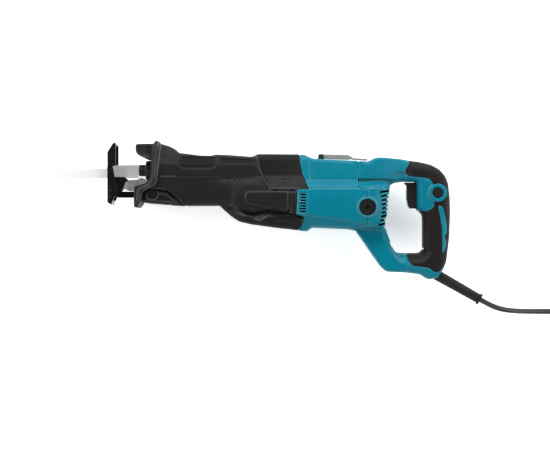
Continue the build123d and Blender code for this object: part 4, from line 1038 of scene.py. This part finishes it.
# ---------------------------------------------------------------------------------------------------------
# Screws. Steel pan-head screws: four hold the handle's halves together from the right, and two small ones
# hold the guide's cheeks. Each has a cross recess.
# ---------------------------------------------------------------------------------------------------------
def screw_tree():
    """Cross-recess screws at each point, heads down their own -Z before they are turned."""
    tree, given, result = geometry_effect("cross_screws", {
        "Head Radius": ("Float", 0.0036), "Head Height": ("Float", 0.0022), "Shank Radius": ("Float", 0.002),
        "Shank Length": ("Float", 0.02), "Turn": ("Rotation", None), "Finish": ("Material", None)})
    dome = node(tree, "GeometryNodeMeshUVSphere", {"Segments": 32, "Rings": 16, "Radius": 1.0})
    scale = node(tree, "ShaderNodeCombineXYZ", {"X": given["Head Radius"], "Y": given["Head Radius"],
                                                "Z": given["Head Height"]}).outputs[0]
    head = node(tree, "GeometryNodeTransform", {"Geometry": dome.outputs[0], "Scale": scale})
    wide = maths(tree, "MULTIPLY", given["Head Radius"], 1.15)
    thin = maths(tree, "MULTIPLY", given["Head Radius"], 0.26)
    deep = maths(tree, "MULTIPLY", given["Head Height"], 1.3)
    lowered = node(tree, "ShaderNodeCombineXYZ", {"Z": maths(tree, "MULTIPLY", given["Head Height"], -1.05)})
    cuts = []
    for x, y in ((wide, thin), (thin, wide)):
        size = node(tree, "ShaderNodeCombineXYZ", {"X": x, "Y": y, "Z": deep}).outputs[0]
        bar = node(tree, "GeometryNodeMeshCube", {"Size": size})
        cuts.append(node(tree, "GeometryNodeTransform", {"Geometry": bar.outputs[0],
                                                         "Translation": lowered.outputs[0]}))
    recess = node(tree, "GeometryNodeMeshBoolean", {"Mesh 1": head.outputs[0]}, operation="DIFFERENCE")
    for cut in cuts:
        tree.links.new(cut.outputs[0], recess.inputs["Mesh 2"])
    shank = node(tree, "GeometryNodeMeshCylinder", {"Vertices": 24, "Radius": given["Shank Radius"],
                                                    "Depth": given["Shank Length"]})
    raised = node(tree, "ShaderNodeCombineXYZ", {"Z": maths(tree, "MULTIPLY", given["Shank Length"], 0.5)})
    body = node(tree, "GeometryNodeTransform", {"Geometry": shank.outputs[0],
                                                "Translation": raised.outputs[0]})
    screw = node(tree, "GeometryNodeJoinGeometry")
    tree.links.new(recess.outputs[0], screw.inputs[0])
    tree.links.new(body.outputs[0], screw.inputs[0])
    row = node(tree, "GeometryNodeInstanceOnPoints", {"Points": given["Geometry"],
                                                      "Instance": screw.outputs[0],
                                                      "Rotation": given["Turn"]})
    return made_real(tree, row, given, result)


def screws(name, places, stands_for, head, shank, turn):
    """Screws at some places; head and shank are a radius and a length."""
    mesh = bpy.data.meshes.new(name)
    mesh.from_pydata([(x * MM, y * MM, (z + MID) * MM) for x, y, z in places], [], [])
    made = shown(name, mesh)
    grown(made, SCREWS, {"Head Radius": head[0] * MM, "Head Height": head[1] * MM,
                         "Shank Radius": shank[0] * MM, "Shank Length": shank[1] * MM, "Turn": turn,
                         "Finish": METALS["spring_steel"][0]})
    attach(made, "saw_body")
    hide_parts(stands_for)


SCREWS = screw_tree()
screws("handle_screw_set", [(x, y, -12) for x, y in HANDLE_SCREWS], "handle_screws", (3.6, 2.2), (2.0, 22),
       (0.0, 0.0, 0.0))
screws("guide_screw_set", [(-145, 40.9, z) for z in (-18, 18)], "guide_screws", (3.2, 2.1), (1.7, 4.5),
       (math.pi / 2, 0.0, 0.0))


# ---------------------------------------------------------------------------------------------------------
# Studio. A pale floor, and soft boxes round the bench that light the bevels from the sides.
# ---------------------------------------------------------------------------------------------------------
LIGHTS_AIM = Vector((0.03, 0, 0.05))


def soft_box(name, place, size, power):
    """A rectangular area light, in metres and watts, aimed at the middle of the saw."""
    data = bpy.data.lights.new(name, "AREA")
    data.shape = "RECTANGLE"
    data.size, data.size_y = size
    data.energy = power
    lamp = shown(name, data)
    lamp.location = place
    lamp.rotation_euler = (LIGHTS_AIM - Vector(place)).to_track_quat("-Z", "Y").to_euler()


def studio():
    world = bpy.data.worlds.new("studio")
    bpy.context.scene.world = world
    world.use_nodes = True
    tree = world.node_tree
    upward = node(tree, "ShaderNodeSeparateXYZ", {0: node(tree, "ShaderNodeTexCoord").outputs["Generated"]})
    glow = node(tree, "ShaderNodeMapRange", {"Value": upward.outputs["Z"], "From Min": 0.1, "From Max": 0.9,
                                             "To Min": 1.4, "To Max": 0.4})
    tree.links.new(glow.outputs[0], tree.nodes["Background"].inputs["Strength"])
    soft_box("top_light", (-0.1, 1.5, 1.1), (2.4, 1.0), 50)
    soft_box("front_light", (-1.5, 0.1, 0.9), (1.0, 1.6), 17)
    soft_box("rear_light", (1.6, 0.1, 0.8), (1.0, 1.6), 20)
    soft_box("low_light", (0.0, -1.6, 1.3), (2.0, 1.0), 20)


def floor():
    """A pale plane under the saw, wide enough to fill the view."""
    mesh = bpy.data.meshes.new("floor")
    half = 40.0
    corners = [(-half, -half, 0), (half, -half, 0), (half, half, 0), (-half, half, 0)]
    mesh.from_pydata(corners, [], [(0, 1, 2, 3)])
    ground = shown("floor", mesh)
    paint = bpy.data.materials.new("floor")
    paint.use_nodes = True
    shader = paint.node_tree.nodes["Principled BSDF"]
    shader.inputs["Base Color"].default_value = (0.97, 0.97, 0.97, 1)
    shader.inputs["Roughness"].default_value = 0.9
    shader.inputs["Emission Color"].default_value = (1, 1, 1, 1)
    shader.inputs["Emission Strength"].default_value = 0.5
    mesh.materials.append(paint)


studio()
floor()
bpy.context.scene.view_settings.view_transform = "Standard"
